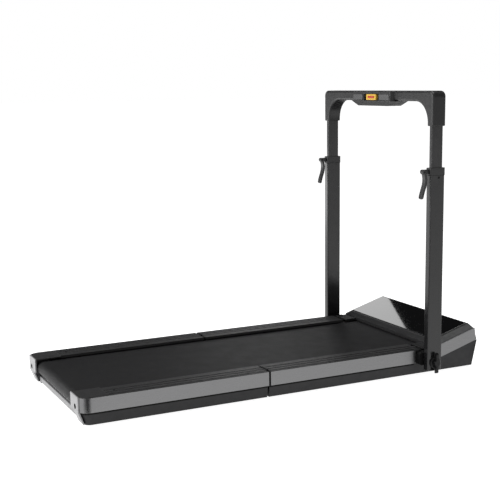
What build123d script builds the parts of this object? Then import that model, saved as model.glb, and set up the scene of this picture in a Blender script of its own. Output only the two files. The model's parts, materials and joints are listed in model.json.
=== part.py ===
from build123d import *
import os
from math import atan2, degrees, sqrt

# Folding walking treadmill with a telescopic handlebar, in millimetres.
# +X is the walking direction, +Y the walker's left, +Z up; the floor is Z = 0 and
# X = 0 is half way along the deck.

# Deck: overall sizes
rear_length = 668.0          # fold line to the rear end
front_length = 876.0         # fold line to the nose
deck_half_width = 320.0      # centre line to the outside of the side trim
fold_gap = 3.5               # half of the gap between the two deck halves
foot_height = 7.0
foot_side_inset = 8.0        # inner face of the side tubes to the middle of the feet
foot_radius = 14.0
foot_fold_inset = 60.0       # fold line to the nearest feet and casing bosses
rear_foot_inset = 70.0       # rear plane to the rear feet
front_foot_inset = 120.0     # front roller's axis to the front feet and bosses
corner_radius = 38.0         # rear corners in plan
running_gap = 0.3            # between faces that move past each other
shaft_gap = 0.05             # radial clearance of a turning fit
cut_over = 1.0               # how far a cutting form stands out past a face

# Deck: levels and widths of the side section
trim_bottom = 51.0
rail_height = 49.5           # trim bottom to the top of the foot rail
trim_drop = 1.0              # top edge of the trim below the foot rail
trim_wall = 3.0
flange_thickness = 2.5
rail_plate = 4.0
rail_leg = 3.0
rail_stand = 8.5             # foot rail's top above the side tubes
rail_overhang = 28.5         # side tube to the inner edge of the foot rail
rail_bands = 3               # bands of fine grooves along the foot rail
rail_band_pitch = 22.0
rail_band_inset = 27.5       # inner edge of the foot rail to the first band
rail_band_grooves = 3
rail_groove_pitch = 3.4
rail_groove_width = 1.9
rail_groove_depth = 1.2
skirt_depth = 9.5            # lip of the foot rail beside the belt
rail_side_gap = 0.3          # foot rail to side trim
tube_wall = 1.5
tube_width = 46.0
tube_height = 48.0
tube_side_gap = 16.0         # outside of the side trim to the side tube

# Lower casing
casing_wall = 3.0
casing_side_inset = 16.0     # side trim to the casing's bottom edge
casing_draft = 0.135         # sideways lean of the casing wall per unit of height
casing_rear_draft = 0.34
casing_nose_draft = 0.12
casing_rear_setback = 6.0    # rear plane to the casing wall, at the trim's lower edge
boss_radius = 8.0
boss_count = 3
rear_boss_inset = 130.0      # rear plane to the rearmost bosses

# Running belt, boards and rollers
belt_side_gap = 8.5          # belt to the foot rail
belt_thickness = 2.0
belt_drop = 11.5             # belt surface below the foot rail
belt_seam_gap = 0.5          # half of the cut in the belt at the fold line
board_thickness = 14.0
board_side_gap = 6.0
board_end_gap = 2.0
roller_radius = 21.7
roller_wall = 3.0
roller_overhang = 7.0        # roller's end past the belt's edge
rear_roller_setback = 32.0   # rear plane to the rear roller's axis
front_roller_inset = 36.0    # rear edge of the hood to the front roller's axis
axle_radius = 8.5
axle_flat = 7.0              # half thickness across the flats at the axle's ends
front_axle_reach = 12.0      # axle's end past the inner face of the side tube
rear_axle_reach = 26.0
bearing_radius = 17.5
bearing_width = 10.0
cross_width = 40.0
cross_clearance = 2.0        # above the belt's lower run
cross_height = 15.0
cross_count = 3
cross_fold_inset = 50.0
cross_roller_gap = 70.0
front_bar_depth = 8.0
front_bar_height = 12.0
cushion_radius = 12.0
cushion_inset = 52.0         # edge of the board to the middle of a cushion

# Rear end
rail_end_length = 97.0
rail_end_step = 10.0         # how far the rail's end cover stands over the belt
cap_thickness = 4.0
cap_corner_inset = 20.0      # side of the deck to the cap's edge
cap_leg_width = 50.0
cap_knee_drop = 1.0          # below the trim's lower edge
cap_toe_lift = 3.0           # above the casing's bottom
tension_bolt_inset = 10.0    # inner face of the side tube to the bolt
tension_bolt_radius = 4.0
tension_head_radius = 6.5
tension_head_length = 6.0
tension_hole_radius = 8.0
tension_travel = 10.0
tension_socket_radius = 3.0
tension_socket_depth = 3.0
side_plate_thickness = 12.0
side_plate_setback = 10.0
side_plate_length = 48.0
side_plate_drop = 4.0        # below the casing's bottom
side_plate_waist = 27.0      # length where the plate leaves the side tube
side_plate_tip = 8.0
side_plate_toe = 16.5
crossbar_setback = 22.0
crossbar_depth = 10.0
crossbar_lift = 4.5          # above the casing's bottom
crossbar_height = 18.5
crossbar_round = 2.0

# Fold hinge
hinge_rise = 0.75            # hinge axis above the foot rail
hinge_side_inset = 4.0       # each end of a hinge to the side of its tube
hinge_knuckles = 5
hinge_pin_radius = 1.8
hinge_leaf = 2.0
hinge_leaf_drop = 46.0

# Motor hood
hood_length = 192.0          # rear edge of the hood to the nose
shoulder_length = 47.0       # shoulders of the hood, behind its rear edge
shoulder_slot = 15.0         # slot between a foot rail and a shoulder
band_rise_lead = 8.0         # where the side band starts to climb, behind the hood
hood_slope = 0.29            # climb of the hood per unit of length
hood_wall = 3.0
hood_roof = 5.0
hood_shoulder_inset = 10.0
hood_lip = 5.5               # rear edge of the hood above the foot rail
hood_top_setback = 20.0      # nose to the upper edge of the hood
bezel_length = 13.0          # rear edge of the hood to the panel's roof
panel_lift = 19.0            # rear edge of that roof above the foot rail
panel_side_inset = 31.0      # side of the deck to the edge of the roof
panel_thickness = 5.0
panel_pocket = 2.0
panel_end_margin = 4.8
panel_side_margin = 4.0
panel_round = 1.5
nose_lift = 5.5              # nose edge above the foot rail
band_front_setback = 6.0
window_length = 52.0
window_half_width = 100.0
display_depth = 8.0
display_end_gap = 2.0
display_side_gap = 3.0
section_over = 10.0          # how far the hood's cutting sections run past its ends
section_reach = 300.0

# Drive
motor_setback = 70.0         # nose to the motor's axis
motor_rise = 7.0             # motor's axis above the roller's
motor_radius = 40.0
motor_length = 155.0
motor_end_gap = 17.0         # motor to the pulleys
motor_groove_shares = (0.12, 0.88)
motor_groove_half_width = 2.0
motor_groove_depth = 2.0
motor_shaft_radius = 7.5
motor_shaft_end = 2.0
flywheel_radius = 38.0
flywheel_width = 12.0
flywheel_gap = 2.0
roller_pulley_radius = 32.0
motor_pulley_radius = 14.0
pulley_gap = 4.0             # roller's end to its pulley
pulley_width = 18.0
pulley_rim = 2.0
pulley_grooves = 4
pulley_groove_depth = 1.6
drive_belt_thickness = 3.0
drive_belt_side_gap = 1.0
cradle_plate = 6.0
cradle_height = 45.0
cradle_half_length = 36.0
cradle_base = 4.0
cradle_end_inset = 30.0
control_length = 74.0
control_width = 150.0
control_height = 24.0
control_fin_height = 12.0
control_fins = 9
control_fin_share = 0.5
control_inset = 123.0        # side tube to the middle of the controller

# Mains inlet, switch and transport wheels
inlet_inset = 48.0           # side tube to the middle of the inlet
switch_pitch = 50.0          # inlet to switch
inlet_drop = 42.0            # below the nose edge
inlet_flange_width = 48.0
inlet_flange_height = 28.0
inlet_flange = 2.5
inlet_corner = 4.0
inlet_body_width = 29.0
inlet_body_height = 21.0
inlet_body_depth = 24.0
inlet_socket_width = 24.5
inlet_socket_height = 16.5
inlet_socket_depth = 18.0
inlet_pin_width = 2.0
inlet_pin_height = 4.5
inlet_pin_length = 9.0
inlet_pin_pitch = 7.0
inlet_pin_lift = 2.0
switch_wall = 1.0
switch_lip = 2.0             # flange of the switch past its body
switch_depth = 16.0
rocker_width = 10.0
rocker_height = 22.0
rocker_depth = 9.0
rocker_tilt = 8.0
rocker_round = 2.0
rocker_side_gap = 0.6
rocker_swing_room = 1.5
rocker_trunnion_radius = 2.0
wheel_setback = 46.0         # nose to the wheels' axle
wheel_inset = 23.0           # side tube to the middle of a wheel
wheel_radius = 19.0
wheel_width = 18.0
wheel_round = 3.0
wheel_well_room = 3.0
wheel_floor_gap = 2.5
wheel_axle_radius = 4.0
wheel_rib = 4.0
wheel_rib_half_length = 10.0
wheel_rib_cover = 9.0
wheel_side_gap = 1.0

# Handle posts
post_setback = 38.4          # rear edge of the hood to the middle of the posts
post_length_x = 60.3
post_length_y = 27.5
post_offset = 36.0           # side of the deck to the middle of a post
post_wall = 1.8
post_corner = 5.0
post_drop = 29.0             # foot of a post below its pivot
post_top = 762.0
pivot_rise = 9.0             # above the trim's lower edge
pivot_radius = 6.0
bracket_reach = 46.4         # rear end of a bracket to the middle of the post
bracket_length = 92.0
bracket_drop = 12.5          # bottom of a bracket below the pivot
bracket_seat = 9.0           # how far a bracket stands in from the side of the deck
bracket_wall = 4.0
bracket_boss = 12.0
bracket_corner = 10.0
shoe_height = 70.0
knob_radius = 21.0
knob_thickness = 6.0
knob_wing_height = 74.0
knob_wing_thickness = 9.0
knob_wing_reach = 12.0
knob_round = 2.0
knob_wing_round = 5.5
knob_boss_wall = 5.0
knob_blind = 4.0

# Clamp collars and cam levers
collar_lip = 1.5
collar_band = 22.0
collar_cap = 4.0
collar_spigot = 72.0
stem_length_x = 46.5
stem_length_y = 18.0
stem_wall = 1.5
stem_corner = 4.0
stem_gap = 0.2
stem_overlap = 202.0         # length of a stem inside its post
lever_pivot_setback = 22.5   # behind the rear face of the post
lever_pivot_drop = 13.0      # below the collar's top
lever_head_radius = 8.0
lever_pin_radius = 3.0
lever_width = 18.0
lever_lug_width = 8.0
lever_thickness = 9.0
lever_tip_round = 7.0
lever_hole_radius = 2.5
lever_hole_inset = 4.0
# S-shaped line of a lever's tail, from its pivot
lever_tail = ((0.0, 0.0), (6.0, -18.0), (6.0, -40.0), (-2.0, -68.0), (-8.0, -92.0))

# Handlebar and console
bar_top = 1034.6
bar_height = 37.5
bar_depth = 56.5
bar_leg_length = 122.6
bar_leg_thickness = 35.5
bar_arch_radius = 76.0
bar_outer_radius = 22.0
bar_edge_radius = 8.0
bar_leg_round = 3.0
stem_seat = 88.0             # how far a stem goes up into the handlebar's leg
console_end_wall = 5.0
console_flare = 8.0          # how far the console widens towards the bar
console_depth = 14.0
console_round = 5.0
console_height = 35.0
console_drop = 3.6           # below the bar's top
bulge_depth = 19.0           # below the bar's underside
bulge_bottom_half_width = 100.0
bulge_top_half_width = 150.0
bulge_rear = 8.0             # how far the bulge reaches out behind the bar
bulge_front_setback = 3.0
bay_half_width = 50.0
bay_depth = 9.0
bay_margin = 2.0
bay_wall = 7.0               # key bay to a button
pad_length = 65.0
pad_height = 21.0
pad_proud = 2.5
pad_depth = 8.0
pad_travel = 1.5
pad_gap = 0.4
pad_lift = -2.6              # middle of the buttons above the console's middle
pad_corner = 3.0
key_half_width = 32.5
key_height = 21.7
key_proud = 1.0
key_corner = 4.0
insert_half_width = 22.0
insert_height = 8.0
insert_depth = 1.0

# Places worked out from the sizes above
fold_x = (rear_length - front_length) / 2
rear_x = fold_x - rear_length
nose_x = fold_x + front_length
rail_top = trim_bottom + rail_height
trim_top = rail_top - trim_drop
trim_height = trim_top - trim_bottom
tube_top = rail_top - rail_stand
tube_bottom = tube_top - tube_height
tube_outer_y = deck_half_width - tube_side_gap
tube_inner_y = tube_outer_y - tube_width
rail_inner_y = tube_inner_y - rail_overhang
rail_outer_y = deck_half_width - trim_wall - rail_side_gap
rail_under = rail_top - rail_plate
casing_bottom_half_width = deck_half_width - casing_side_inset

belt_half_width = rail_inner_y - belt_side_gap
belt_top = rail_top - belt_drop
belt_inner = belt_top - belt_thickness
board_top = belt_inner - running_gap
board_bottom = board_top - board_thickness
board_half_width = tube_inner_y - board_side_gap
roller_z = board_top - roller_radius
roller_half_length = belt_half_width + roller_overhang
belt_wrap = roller_radius + running_gap
belt_lowest = roller_z - belt_wrap - belt_thickness
cross_bottom = roller_z - belt_wrap + cross_clearance
cross_top = cross_bottom + cross_height
cushion_y = board_half_width - cushion_inset
hood_x = nose_x - hood_length
rear_roller_x = rear_x + rear_roller_setback
front_roller_x = hood_x + front_roller_inset
board_rear_x = rear_roller_x + belt_wrap + belt_thickness + board_end_gap
board_front_x = front_roller_x - roller_pulley_radius - running_gap - drive_belt_thickness - board_end_gap
front_axle_half_length = tube_inner_y + front_axle_reach
rear_axle_half_length = tube_inner_y + rear_axle_reach

cap_outer_y = deck_half_width - cap_corner_inset
cap_leg_inner_y = cap_outer_y - cap_leg_width
cap_knee_z = trim_bottom - cap_knee_drop
cap_toe_z = foot_height + cap_toe_lift
tension_bolt_y = tube_inner_y + tension_bolt_inset
side_plate_inner_y = tube_inner_y - side_plate_thickness
side_plate_foot = foot_height - side_plate_drop
foot_y = tube_inner_y - foot_side_inset
crossbar_bottom = foot_height + crossbar_lift
hinge_z = rail_top + hinge_rise
hinge_inner_y = tube_inner_y + hinge_side_inset
hinge_outer_y = tube_outer_y - hinge_side_inset
hinge_knuckle_radius = fold_gap - running_gap

shoulder_x = hood_x - shoulder_length
rail_front_x = shoulder_x - shoulder_slot
hood_rise_x = hood_x - band_rise_lead
hood_top_x = nose_x - hood_top_setback
hood_shoulder_half_width = deck_half_width - hood_shoulder_inset
hood_rear_z = rail_top + hood_lip
panel_x = hood_x + bezel_length
panel_rear_z = rail_top + panel_lift
panel_half_width = deck_half_width - panel_side_inset
nose_z = rail_top + nose_lift

motor_x = nose_x - motor_setback
motor_z = roller_z + motor_rise
pulley_inner_y = -roller_half_length - pulley_gap
pulley_outer_y = pulley_inner_y - pulley_width
motor_right_y = pulley_inner_y + motor_end_gap
motor_left_y = motor_right_y + motor_length
control_centre_y = tube_inner_y - control_inset
inlet_y = tube_inner_y - inlet_inset
inlet_z = nose_z - inlet_drop
switch_y = inlet_y - switch_pitch
switch_body_width = rocker_width + 2 * rocker_side_gap + 2 * switch_wall
switch_body_height = rocker_height + 2 * rocker_swing_room + 2 * switch_wall
rocker_level = inlet_flange - rocker_depth / 2 - rocker_trunnion_radius / 2
wheel_x = nose_x - wheel_setback
wheel_y = tube_inner_y - wheel_inset
wheel_z = wheel_floor_gap + wheel_radius

post_x = hood_x - post_setback
post_centre_y = deck_half_width + post_offset
post_inner_y = post_centre_y - post_length_y / 2
post_outer_y = post_centre_y + post_length_y / 2
pivot_z = trim_bottom + pivot_rise
post_bottom = pivot_z - post_drop
bracket_x = post_x - bracket_reach
bracket_end_x = bracket_x + bracket_length
bracket_inner_y = deck_half_width - bracket_seat
bracket_bottom = pivot_z - bracket_drop
bracket_top = tube_top + flange_thickness - running_gap
collar_top = post_top + collar_cap
lever_x = post_x - post_length_x / 2 - lever_pivot_setback
lever_z = collar_top - lever_pivot_drop
stem_bottom = post_top - stem_overlap

bar_rear_x = post_x - bar_depth / 2
bar_front_x = post_x + bar_depth / 2
bar_under = bar_top - bar_height
bar_leg_bottom = bar_top - bar_leg_length
console_x = bar_rear_x - console_depth
console_top = bar_top - console_drop
console_bottom = console_top - console_height
bulge_bottom = bar_under - bulge_depth
pad_inner_y = bay_half_width + bay_wall
pad_outer_y = pad_inner_y + pad_length
pad_z = (console_bottom + console_top) / 2 + pad_lift
console_half_width = pad_outer_y + console_end_wall
console_foot_half_width = console_half_width + console_flare
far = 3000.0                 # longer than anything here, for cutting


def block(x0, x1, y0, y1, z0, z1):
    """A box between two corners."""
    centre = Pos((x0 + x1) / 2, (y0 + y1) / 2, (z0 + z1) / 2)
    return centre * Box(abs(x1 - x0), abs(y1 - y0), abs(z1 - z0))


def rod_y(x, z, radius, y0, y1):
    """A cylinder along Y."""
    return Pos(x, (y0 + y1) / 2, z) * Rot(90, 0, 0) * Cylinder(radius, abs(y1 - y0))


def rod_x(y, z, radius, x0, x1):
    """A cylinder along X."""
    return Pos((x0 + x1) / 2, y, z) * Rot(0, 90, 0) * Cylinder(radius, abs(x1 - x0))


def prism_y(points, y0, y1):
    """An XZ outline drawn out along Y."""
    plane = Plane(origin=(0, max(y0, y1), 0), x_dir=(1, 0, 0), z_dir=(0, -1, 0))
    return extrude(plane * make_face(Polyline(*points, close=True)), abs(y1 - y0))


def prism_x(points, x0, x1):
    """A YZ outline drawn out along X."""
    plane = Plane(origin=(min(x0, x1), 0, 0), x_dir=(0, 1, 0), z_dir=(1, 0, 0))
    return extrude(plane * make_face(Polyline(*points, close=True)), abs(x1 - x0))


def both(shape):
    """A piece on the left and its mirror image on the right, as separate solids."""
    return shape.solids() + mirror(shape, about=Plane.XZ).solids()


def group(solids):
    """Separate solids that share one node."""
    return Compound(children=list(solids))


def spread(first, last, count):
    """Places evenly spaced from the first to the last."""
    return [first + index * (last - first) / (count - 1) for index in range(count)]


def band_lower(x):
    """Lower edge of the side band beside the hood."""
    return trim_bottom + hood_slope * (x - hood_rise_x)


def band_upper(x):
    """Upper edge of the side band beside the hood."""
    return band_lower(x) + trim_height


def panel_level(x):
    """Height of the sloping roof that carries the display panel."""
    return panel_rear_z + hood_slope * (x - panel_x)


# Deck halves

def rear_plan(inset, z0, z1):
    """The rear half's outline, drawn in by an inset, between two levels."""
    radius = max(corner_radius - inset, flange_thickness)
    length = 2 * (rear_length - inset)
    outline = RectangleRounded(length, 2 * (deck_half_width - inset), radius)
    slab = extrude(Pos(fold_x, 0, z0) * outline, z1 - z0)
    return slab & block(rear_x, fold_x - fold_gap, -far, far, z0, z1)


def rail_section(x0, x1):
    """A ribbed foot rail: a grooved plate on legs, on the left side."""
    plate = block(x0, x1, rail_inner_y, rail_outer_y, rail_under, rail_top)
    leg_y = [tube_inner_y + rail_leg, tube_outer_y - 2 * rail_leg]
    for y in leg_y:
        plate += block(x0, x1, y, y + rail_leg, tube_top, rail_under)
    plate += block(x0, x1, rail_inner_y, rail_inner_y + rail_leg, rail_top - skirt_depth, rail_under)
    lip_bottom = tube_top + flange_thickness
    plate += block(x0, x1, rail_outer_y - rail_leg, rail_outer_y, lip_bottom, rail_under)
    for band in range(rail_bands):
        first = rail_inner_y + rail_band_inset + band * rail_band_pitch
        for index in range(rail_band_grooves):
            y = first + index * rail_groove_pitch
            plate -= block(x0, x1, y, y + rail_groove_width, rail_top - rail_groove_depth, rail_top)
    return plate


def straight_trim(x0, x1):
    """Side trim of the front half: a plate with two inward flanges, on the left."""
    face = block(x0, x1, deck_half_width - trim_wall, deck_half_width, trim_bottom, trim_top)
    top_flange = block(x0, x1, tube_outer_y - rail_leg, deck_half_width - trim_wall,
                       tube_top, tube_top + flange_thickness)
    low_flange = block(x0, x1, tube_outer_y, deck_half_width - trim_wall,
                       trim_bottom, trim_bottom + flange_thickness)
    return face + top_flange + low_flange


def rear_trims():
    """Rear side trims, which turn the rear corners and stop at the end caps."""
    wall_inset = trim_wall
    low_inset = deck_half_width - tube_outer_y
    top_inset = low_inset + rail_leg
    ring = rear_plan(0, trim_bottom, trim_top) - rear_plan(wall_inset, trim_bottom, trim_top)
    low_top = trim_bottom + flange_thickness
    ring += rear_plan(wall_inset, trim_bottom, low_top) - rear_plan(low_inset, trim_bottom, low_top)
    high_top = tube_top + flange_thickness
    ring += rear_plan(wall_inset, tube_top, high_top) - rear_plan(top_inset, tube_top, high_top)
    ring -= block(rear_x - cut_over, fold_x, -cap_outer_y, cap_outer_y, 0, far)
    return group(ring.solids())


def rail_ends():
    """Smooth covers over the rear ends of the foot rails, wider over the belt's edge."""
    end_x = rear_x + rail_end_length
    inner_y = rail_inner_y - rail_end_step
    cover = rear_plan(trim_wall + rail_side_gap, rail_under, rail_top)
    cover -= block(end_x, fold_x, -far, far, 0, far)
    cover -= block(rear_x, fold_x, -inner_y, inner_y, 0, far)
    cover -= block(rear_x, rear_x + cap_thickness, -cap_outer_y, cap_outer_y, 0, far)
    wall_x = rear_x + cap_thickness
    wall = block(wall_x, wall_x + rail_leg, inner_y, cap_outer_y, trim_bottom, rail_under)
    wall -= rod_x(tension_bolt_y, roller_z, tension_head_radius + running_gap, rear_x, rear_x + far)
    wall += block(wall_x, end_x, tube_inner_y + rail_leg, tube_inner_y + 2 * rail_leg, tube_top, rail_under)
    walls = both(wall)
    for piece in walls:
        cover += piece
    return group(cover.solids())


def end_caps():
    """Light end caps with a toe that follows the lean of the lower casing."""
    lean = casing_rear_draft * (cap_knee_z - cap_toe_z)
    upper = block(rear_x, rear_x + cap_thickness, rail_inner_y - rail_end_step, cap_outer_y,
                  cap_knee_z, rail_top)
    toe = prism_y([(rear_x, cap_knee_z),
                   (rear_x + casing_rear_setback, cap_knee_z),
                   (rear_x + casing_rear_setback + lean, cap_toe_z),
                   (rear_x + casing_rear_setback - cap_thickness + lean, cap_toe_z)],
                  cap_leg_inner_y, cap_outer_y)
    cap = upper + toe
    cap -= rod_x(tension_bolt_y, roller_z, tension_hole_radius, rear_x - cut_over,
                 rear_x + 2 * cap_thickness)
    return group(both(cap))


def rear_casing():
    """Tapered lower casing of the rear half, open at the middle of the rear end."""
    def shell(inset, floor):
        """The casing's form drawn in by an inset, above a floor."""
        def ring(z):
            """Outline of the form at a level."""
            half = casing_bottom_half_width + casing_draft * (z - foot_height) - inset
            end = rear_x + casing_rear_setback + casing_rear_draft * (trim_bottom - z) + inset
            radius = max(corner_radius - (deck_half_width - half), flange_thickness)
            outline = RectangleRounded(2 * (fold_x - end), 2 * half, radius)
            return Pos(fold_x, 0, z) * outline
        return loft([ring(floor), ring(trim_bottom)], ruled=True)

    floor_top = foot_height + casing_wall
    casing = shell(0, foot_height) - shell(casing_wall, floor_top)
    casing &= block(rear_x, fold_x - fold_gap, -far, far, 0, far)
    opening = tube_inner_y + running_gap
    casing -= block(rear_x, rear_x + rail_end_length, -opening, opening, 0, far)
    for boss in bosses(spread(fold_x - foot_fold_inset, rear_x + rear_boss_inset, boss_count)):
        casing += boss
    end_wall = block(fold_x - fold_gap - casing_wall, fold_x - fold_gap,
                     -casing_bottom_half_width, casing_bottom_half_width,
                     foot_height, belt_lowest - casing_wall)
    return casing + end_wall


def bosses(places):
    """Posts by which a casing is screwed up to the side tubes."""
    height = tube_bottom - foot_height
    posts_up = []
    for x in places:
        for side in (-1, 1):
            boss_y = side * (tube_inner_y + tube_outer_y) / 2
            posts_up.append(Pos(x, boss_y, foot_height + height / 2) * Cylinder(boss_radius, height))
    return posts_up


def front_form(inset, floor):
    """Form of the front casing, drawn in by an inset, from a floor up to the nose."""
    def ring(z):
        """Outline of the form at a level."""
        half = casing_bottom_half_width + casing_draft * (z - foot_height) - inset
        end = nose_x - casing_nose_draft * (nose_z - z) - inset
        return Pos(fold_x, 0, z) * Rectangle(2 * (end - fold_x), 2 * half)
    return loft([ring(floor), ring(nose_z)], ruled=True)


def nose_plane():
    """Plane on the leaning front wall of the casing, with its X along +Y."""
    x = nose_x - casing_nose_draft * (nose_z - inlet_z)
    return Plane(origin=(x, 0, inlet_z), x_dir=(0, 1, 0), z_dir=(1, 0, -casing_nose_draft))


def front_casing():
    """Lower casing of the front half, which climbs with the side band to the nose."""
    floor_top = foot_height + casing_wall
    casing = front_form(0, foot_height) - front_form(casing_wall, floor_top)
    casing &= block(fold_x + fold_gap, nose_x, -far, far, 0, far)
    past_x = nose_x + section_over
    casing -= prism_y([(fold_x, trim_bottom), (hood_rise_x, trim_bottom),
                       (past_x, band_lower(past_x)), (past_x, far), (fold_x, far)],
                      -far, far)
    end_wall = block(fold_x + fold_gap, fold_x + fold_gap + casing_wall,
                     -casing_bottom_half_width, casing_bottom_half_width,
                     foot_height, belt_lowest - casing_wall)
    casing += end_wall
    for boss in bosses(spread(fold_x + foot_fold_inset, front_roller_x - front_foot_inset, boss_count)):
        casing += boss
    plane = nose_plane()
    casing -= plane * Pos(inlet_y, 0, 0) * Box(inlet_body_width, inlet_body_height, inlet_body_depth)
    casing -= plane * Pos(switch_y, 0, 0) * Box(switch_body_width, switch_body_height, inlet_body_depth)
    well = wheel_width / 2 + wheel_side_gap
    well_half_length = wheel_radius + wheel_well_room
    for side in (-1, 1):
        y = side * wheel_y
        casing -= block(wheel_x - well_half_length, wheel_x + well_half_length, y - well, y + well,
                        0, floor_top)
        for edge in (-1, 1):
            rib_y = y + edge * (well + wheel_rib / 2)
            rib = block(wheel_x - wheel_rib_half_length, wheel_x + wheel_rib_half_length,
                        rib_y - wheel_rib / 2, rib_y + wheel_rib / 2, foot_height, wheel_z + wheel_rib_cover)
            casing += rib - rod_y(wheel_x, wheel_z, wheel_axle_radius, rib_y - wheel_rib, rib_y + wheel_rib)
    return casing


def side_tube(x0, x1):
    """Hollow side member of a deck frame, on the left."""
    outer = block(x0, x1, tube_inner_y, tube_outer_y, tube_bottom, tube_top)
    return outer - block(x0, x1, tube_inner_y + tube_wall, tube_outer_y - tube_wall,
                         tube_bottom + tube_wall, tube_top - tube_wall)


def cross_members(places):
    """Cross members between the side tubes, inside the running belt's loop."""
    members = []
    for x in places:
        outer = block(x - cross_width / 2, x + cross_width / 2, -tube_inner_y, tube_inner_y,
                      cross_bottom, cross_top)
        members.append(outer - block(x - cross_width / 2 + tube_wall, x + cross_width / 2 - tube_wall,
                                     -tube_inner_y, tube_inner_y,
                                     cross_bottom + tube_wall, cross_top - tube_wall))
    return members


def rear_cross_x():
    """Cross members of the rear half."""
    return spread(fold_x - cross_fold_inset, rear_roller_x + cross_roller_gap, cross_count)


def front_cross_x():
    """Cross members of the front half."""
    return spread(fold_x + cross_fold_inset, front_roller_x - cross_roller_gap, cross_count)


def axle_slot(x, length, y0, y1):
    """Slot that takes the flats of an axle's end, on the left."""
    return block(x - length / 2, x + length / 2, y0, y1, roller_z - axle_flat, roller_z + axle_flat)


def rear_frame():
    """Welded frame of the rear half, with the plates that carry the rear roller."""
    tube_end = rear_x + cap_thickness + rail_leg + tension_head_length
    side = side_tube(tube_end, fold_x - fold_gap)
    end_plate = block(tube_end, tube_end + rail_leg, tube_inner_y, tube_outer_y, tube_bottom, tube_top)
    side += end_plate - rod_x(tension_bolt_y, roller_z, tension_bolt_radius, rear_x, rear_x + far)
    side &= rear_plan(deck_half_width - tube_outer_y, 0, far)
    plate_x = rear_x + side_plate_setback
    side += prism_y([(plate_x, tube_top), (plate_x, tube_bottom), (plate_x + side_plate_toe, side_plate_foot),
                     (plate_x + side_plate_toe + side_plate_tip, side_plate_foot),
                     (plate_x + side_plate_waist, tube_bottom), (plate_x + side_plate_length, tube_bottom),
                     (plate_x + side_plate_length, tube_top)], side_plate_inner_y, tube_inner_y)
    slot_length = 2 * (axle_radius + tension_travel)
    side -= axle_slot(rear_roller_x, slot_length, side_plate_inner_y - cut_over,
                      tube_inner_y + tube_wall + cut_over)
    frame = Part() + both(side)
    for member in cross_members(rear_cross_x()):
        frame += member
    return frame


def front_frame():
    """Welded frame of the front half, from the fold line to the nose."""
    tube_end = nose_x - casing_nose_draft * (nose_z - tube_bottom) - 2 * casing_wall
    side = side_tube(fold_x + fold_gap, tube_end)
    side -= axle_slot(front_roller_x, 2 * axle_radius, tube_inner_y - cut_over,
                      tube_inner_y + tube_wall + cut_over)
    frame = Part() + both(side)
    for member in cross_members(front_cross_x()):
        frame += member
    front_bar = block(tube_end - front_bar_depth, tube_end, -tube_inner_y, tube_inner_y,
                      tube_top - front_bar_height, tube_top)
    return frame + front_bar


def cushions(places):
    """Rubber pucks between the cross members and a deck board."""
    height = board_bottom - cross_top
    pucks = []
    for x in places:
        for side in (-1, 1):
            pucks.append(Pos(x, side * cushion_y, cross_top + height / 2) * Cylinder(cushion_radius, height))
    return group(pucks)


def feet(places):
    """Rubber feet under a deck half."""
    pads = []
    for x in places:
        for side in (-1, 1):
            pads.append(Pos(x, side * foot_y, foot_height / 2) * Cylinder(foot_radius, foot_height))
    return group(pads)


def belt_half(roller_x, end_x):
    """One half of the running belt: two runs and the wrap round a roller."""
    def loop(radius):
        """Outline of the loop at a distance from the roller's axis."""
        span = block(roller_x, end_x, -belt_half_width, belt_half_width, roller_z - radius, roller_z + radius)
        return span + rod_y(roller_x, roller_z, radius, -belt_half_width, belt_half_width)
    outer = loop(belt_wrap + belt_thickness)
    return outer - loop(belt_wrap)


def roller(x, pulley):
    """Roller tube with bearing seats, and a grooved pulley at its right end if it is driven."""
    half = roller_half_length
    bore = roller_radius - roller_wall
    seat = half - bearing_width
    profile = [(bore, -seat), (bearing_radius, -seat), (bearing_radius, -half), (roller_radius, -half),
               (roller_radius, half), (bearing_radius, half), (bearing_radius, seat), (bore, seat)]
    plane = Plane(origin=(x, 0, roller_z), x_dir=(1, 0, 0), z_dir=(0, 0, 1))
    tube = revolve(plane * make_face(Polyline(*profile, close=True)), Axis((x, 0, roller_z), (0, 1, 0)))
    if pulley:
        tube += pulley_wheel(x, roller_z, roller_pulley_radius, axle_radius + rail_leg)
        tube += rod_y(x, roller_z, bearing_radius + roller_wall, pulley_inner_y, -half) - rod_y(
            x, roller_z, axle_radius + rail_leg, pulley_inner_y, -half)
    return tube


def pulley_wheel(x, z, radius, bore):
    """Pulley with V grooves, about an axis along Y."""
    wheel = rod_y(x, z, radius, pulley_outer_y, pulley_inner_y)
    pitch = (pulley_width - 2 * pulley_rim) / pulley_grooves
    for index in range(pulley_grooves):
        y = pulley_outer_y + pulley_rim + index * pitch
        rim = radius + cut_over
        ridge = [(radius - pulley_groove_depth, y + pitch / 2), (rim, y), (rim, y + pitch)]
        plane = Plane(origin=(x, 0, z), x_dir=(1, 0, 0), z_dir=(0, 0, 1))
        wheel -= revolve(plane * make_face(Polyline(*ridge, close=True)), Axis((x, 0, z), (0, 1, 0)))
    return wheel - rod_y(x, z, bore, pulley_outer_y, pulley_inner_y)


def bearings(x):
    """Two bearings that seat in a roller's ends."""
    ring = rod_y(x, roller_z, bearing_radius, roller_half_length - bearing_width, roller_half_length)
    ring -= rod_y(x, roller_z, axle_radius + shaft_gap, 0, far)
    return group(both(ring))


def axle(x, half_length, flat_from):
    """Fixed roller axle with flats at its ends."""
    shaft = rod_y(x, roller_z, axle_radius, -half_length, half_length)
    trims = block(x - far, x + far, flat_from, far, roller_z + axle_flat, far)
    trims += block(x - far, x + far, flat_from, far, -far, roller_z - axle_flat)
    for piece in both(trims):
        shaft -= piece
    return shaft


def rear_axle():
    """Rear axle, cross-drilled for the tension bolts."""
    shaft = axle(rear_roller_x, rear_axle_half_length, side_plate_inner_y)
    for side in (-1, 1):
        shaft -= rod_x(side * tension_bolt_y, roller_z, tension_bolt_radius, rear_x, rear_x + far)
    return shaft


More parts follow.
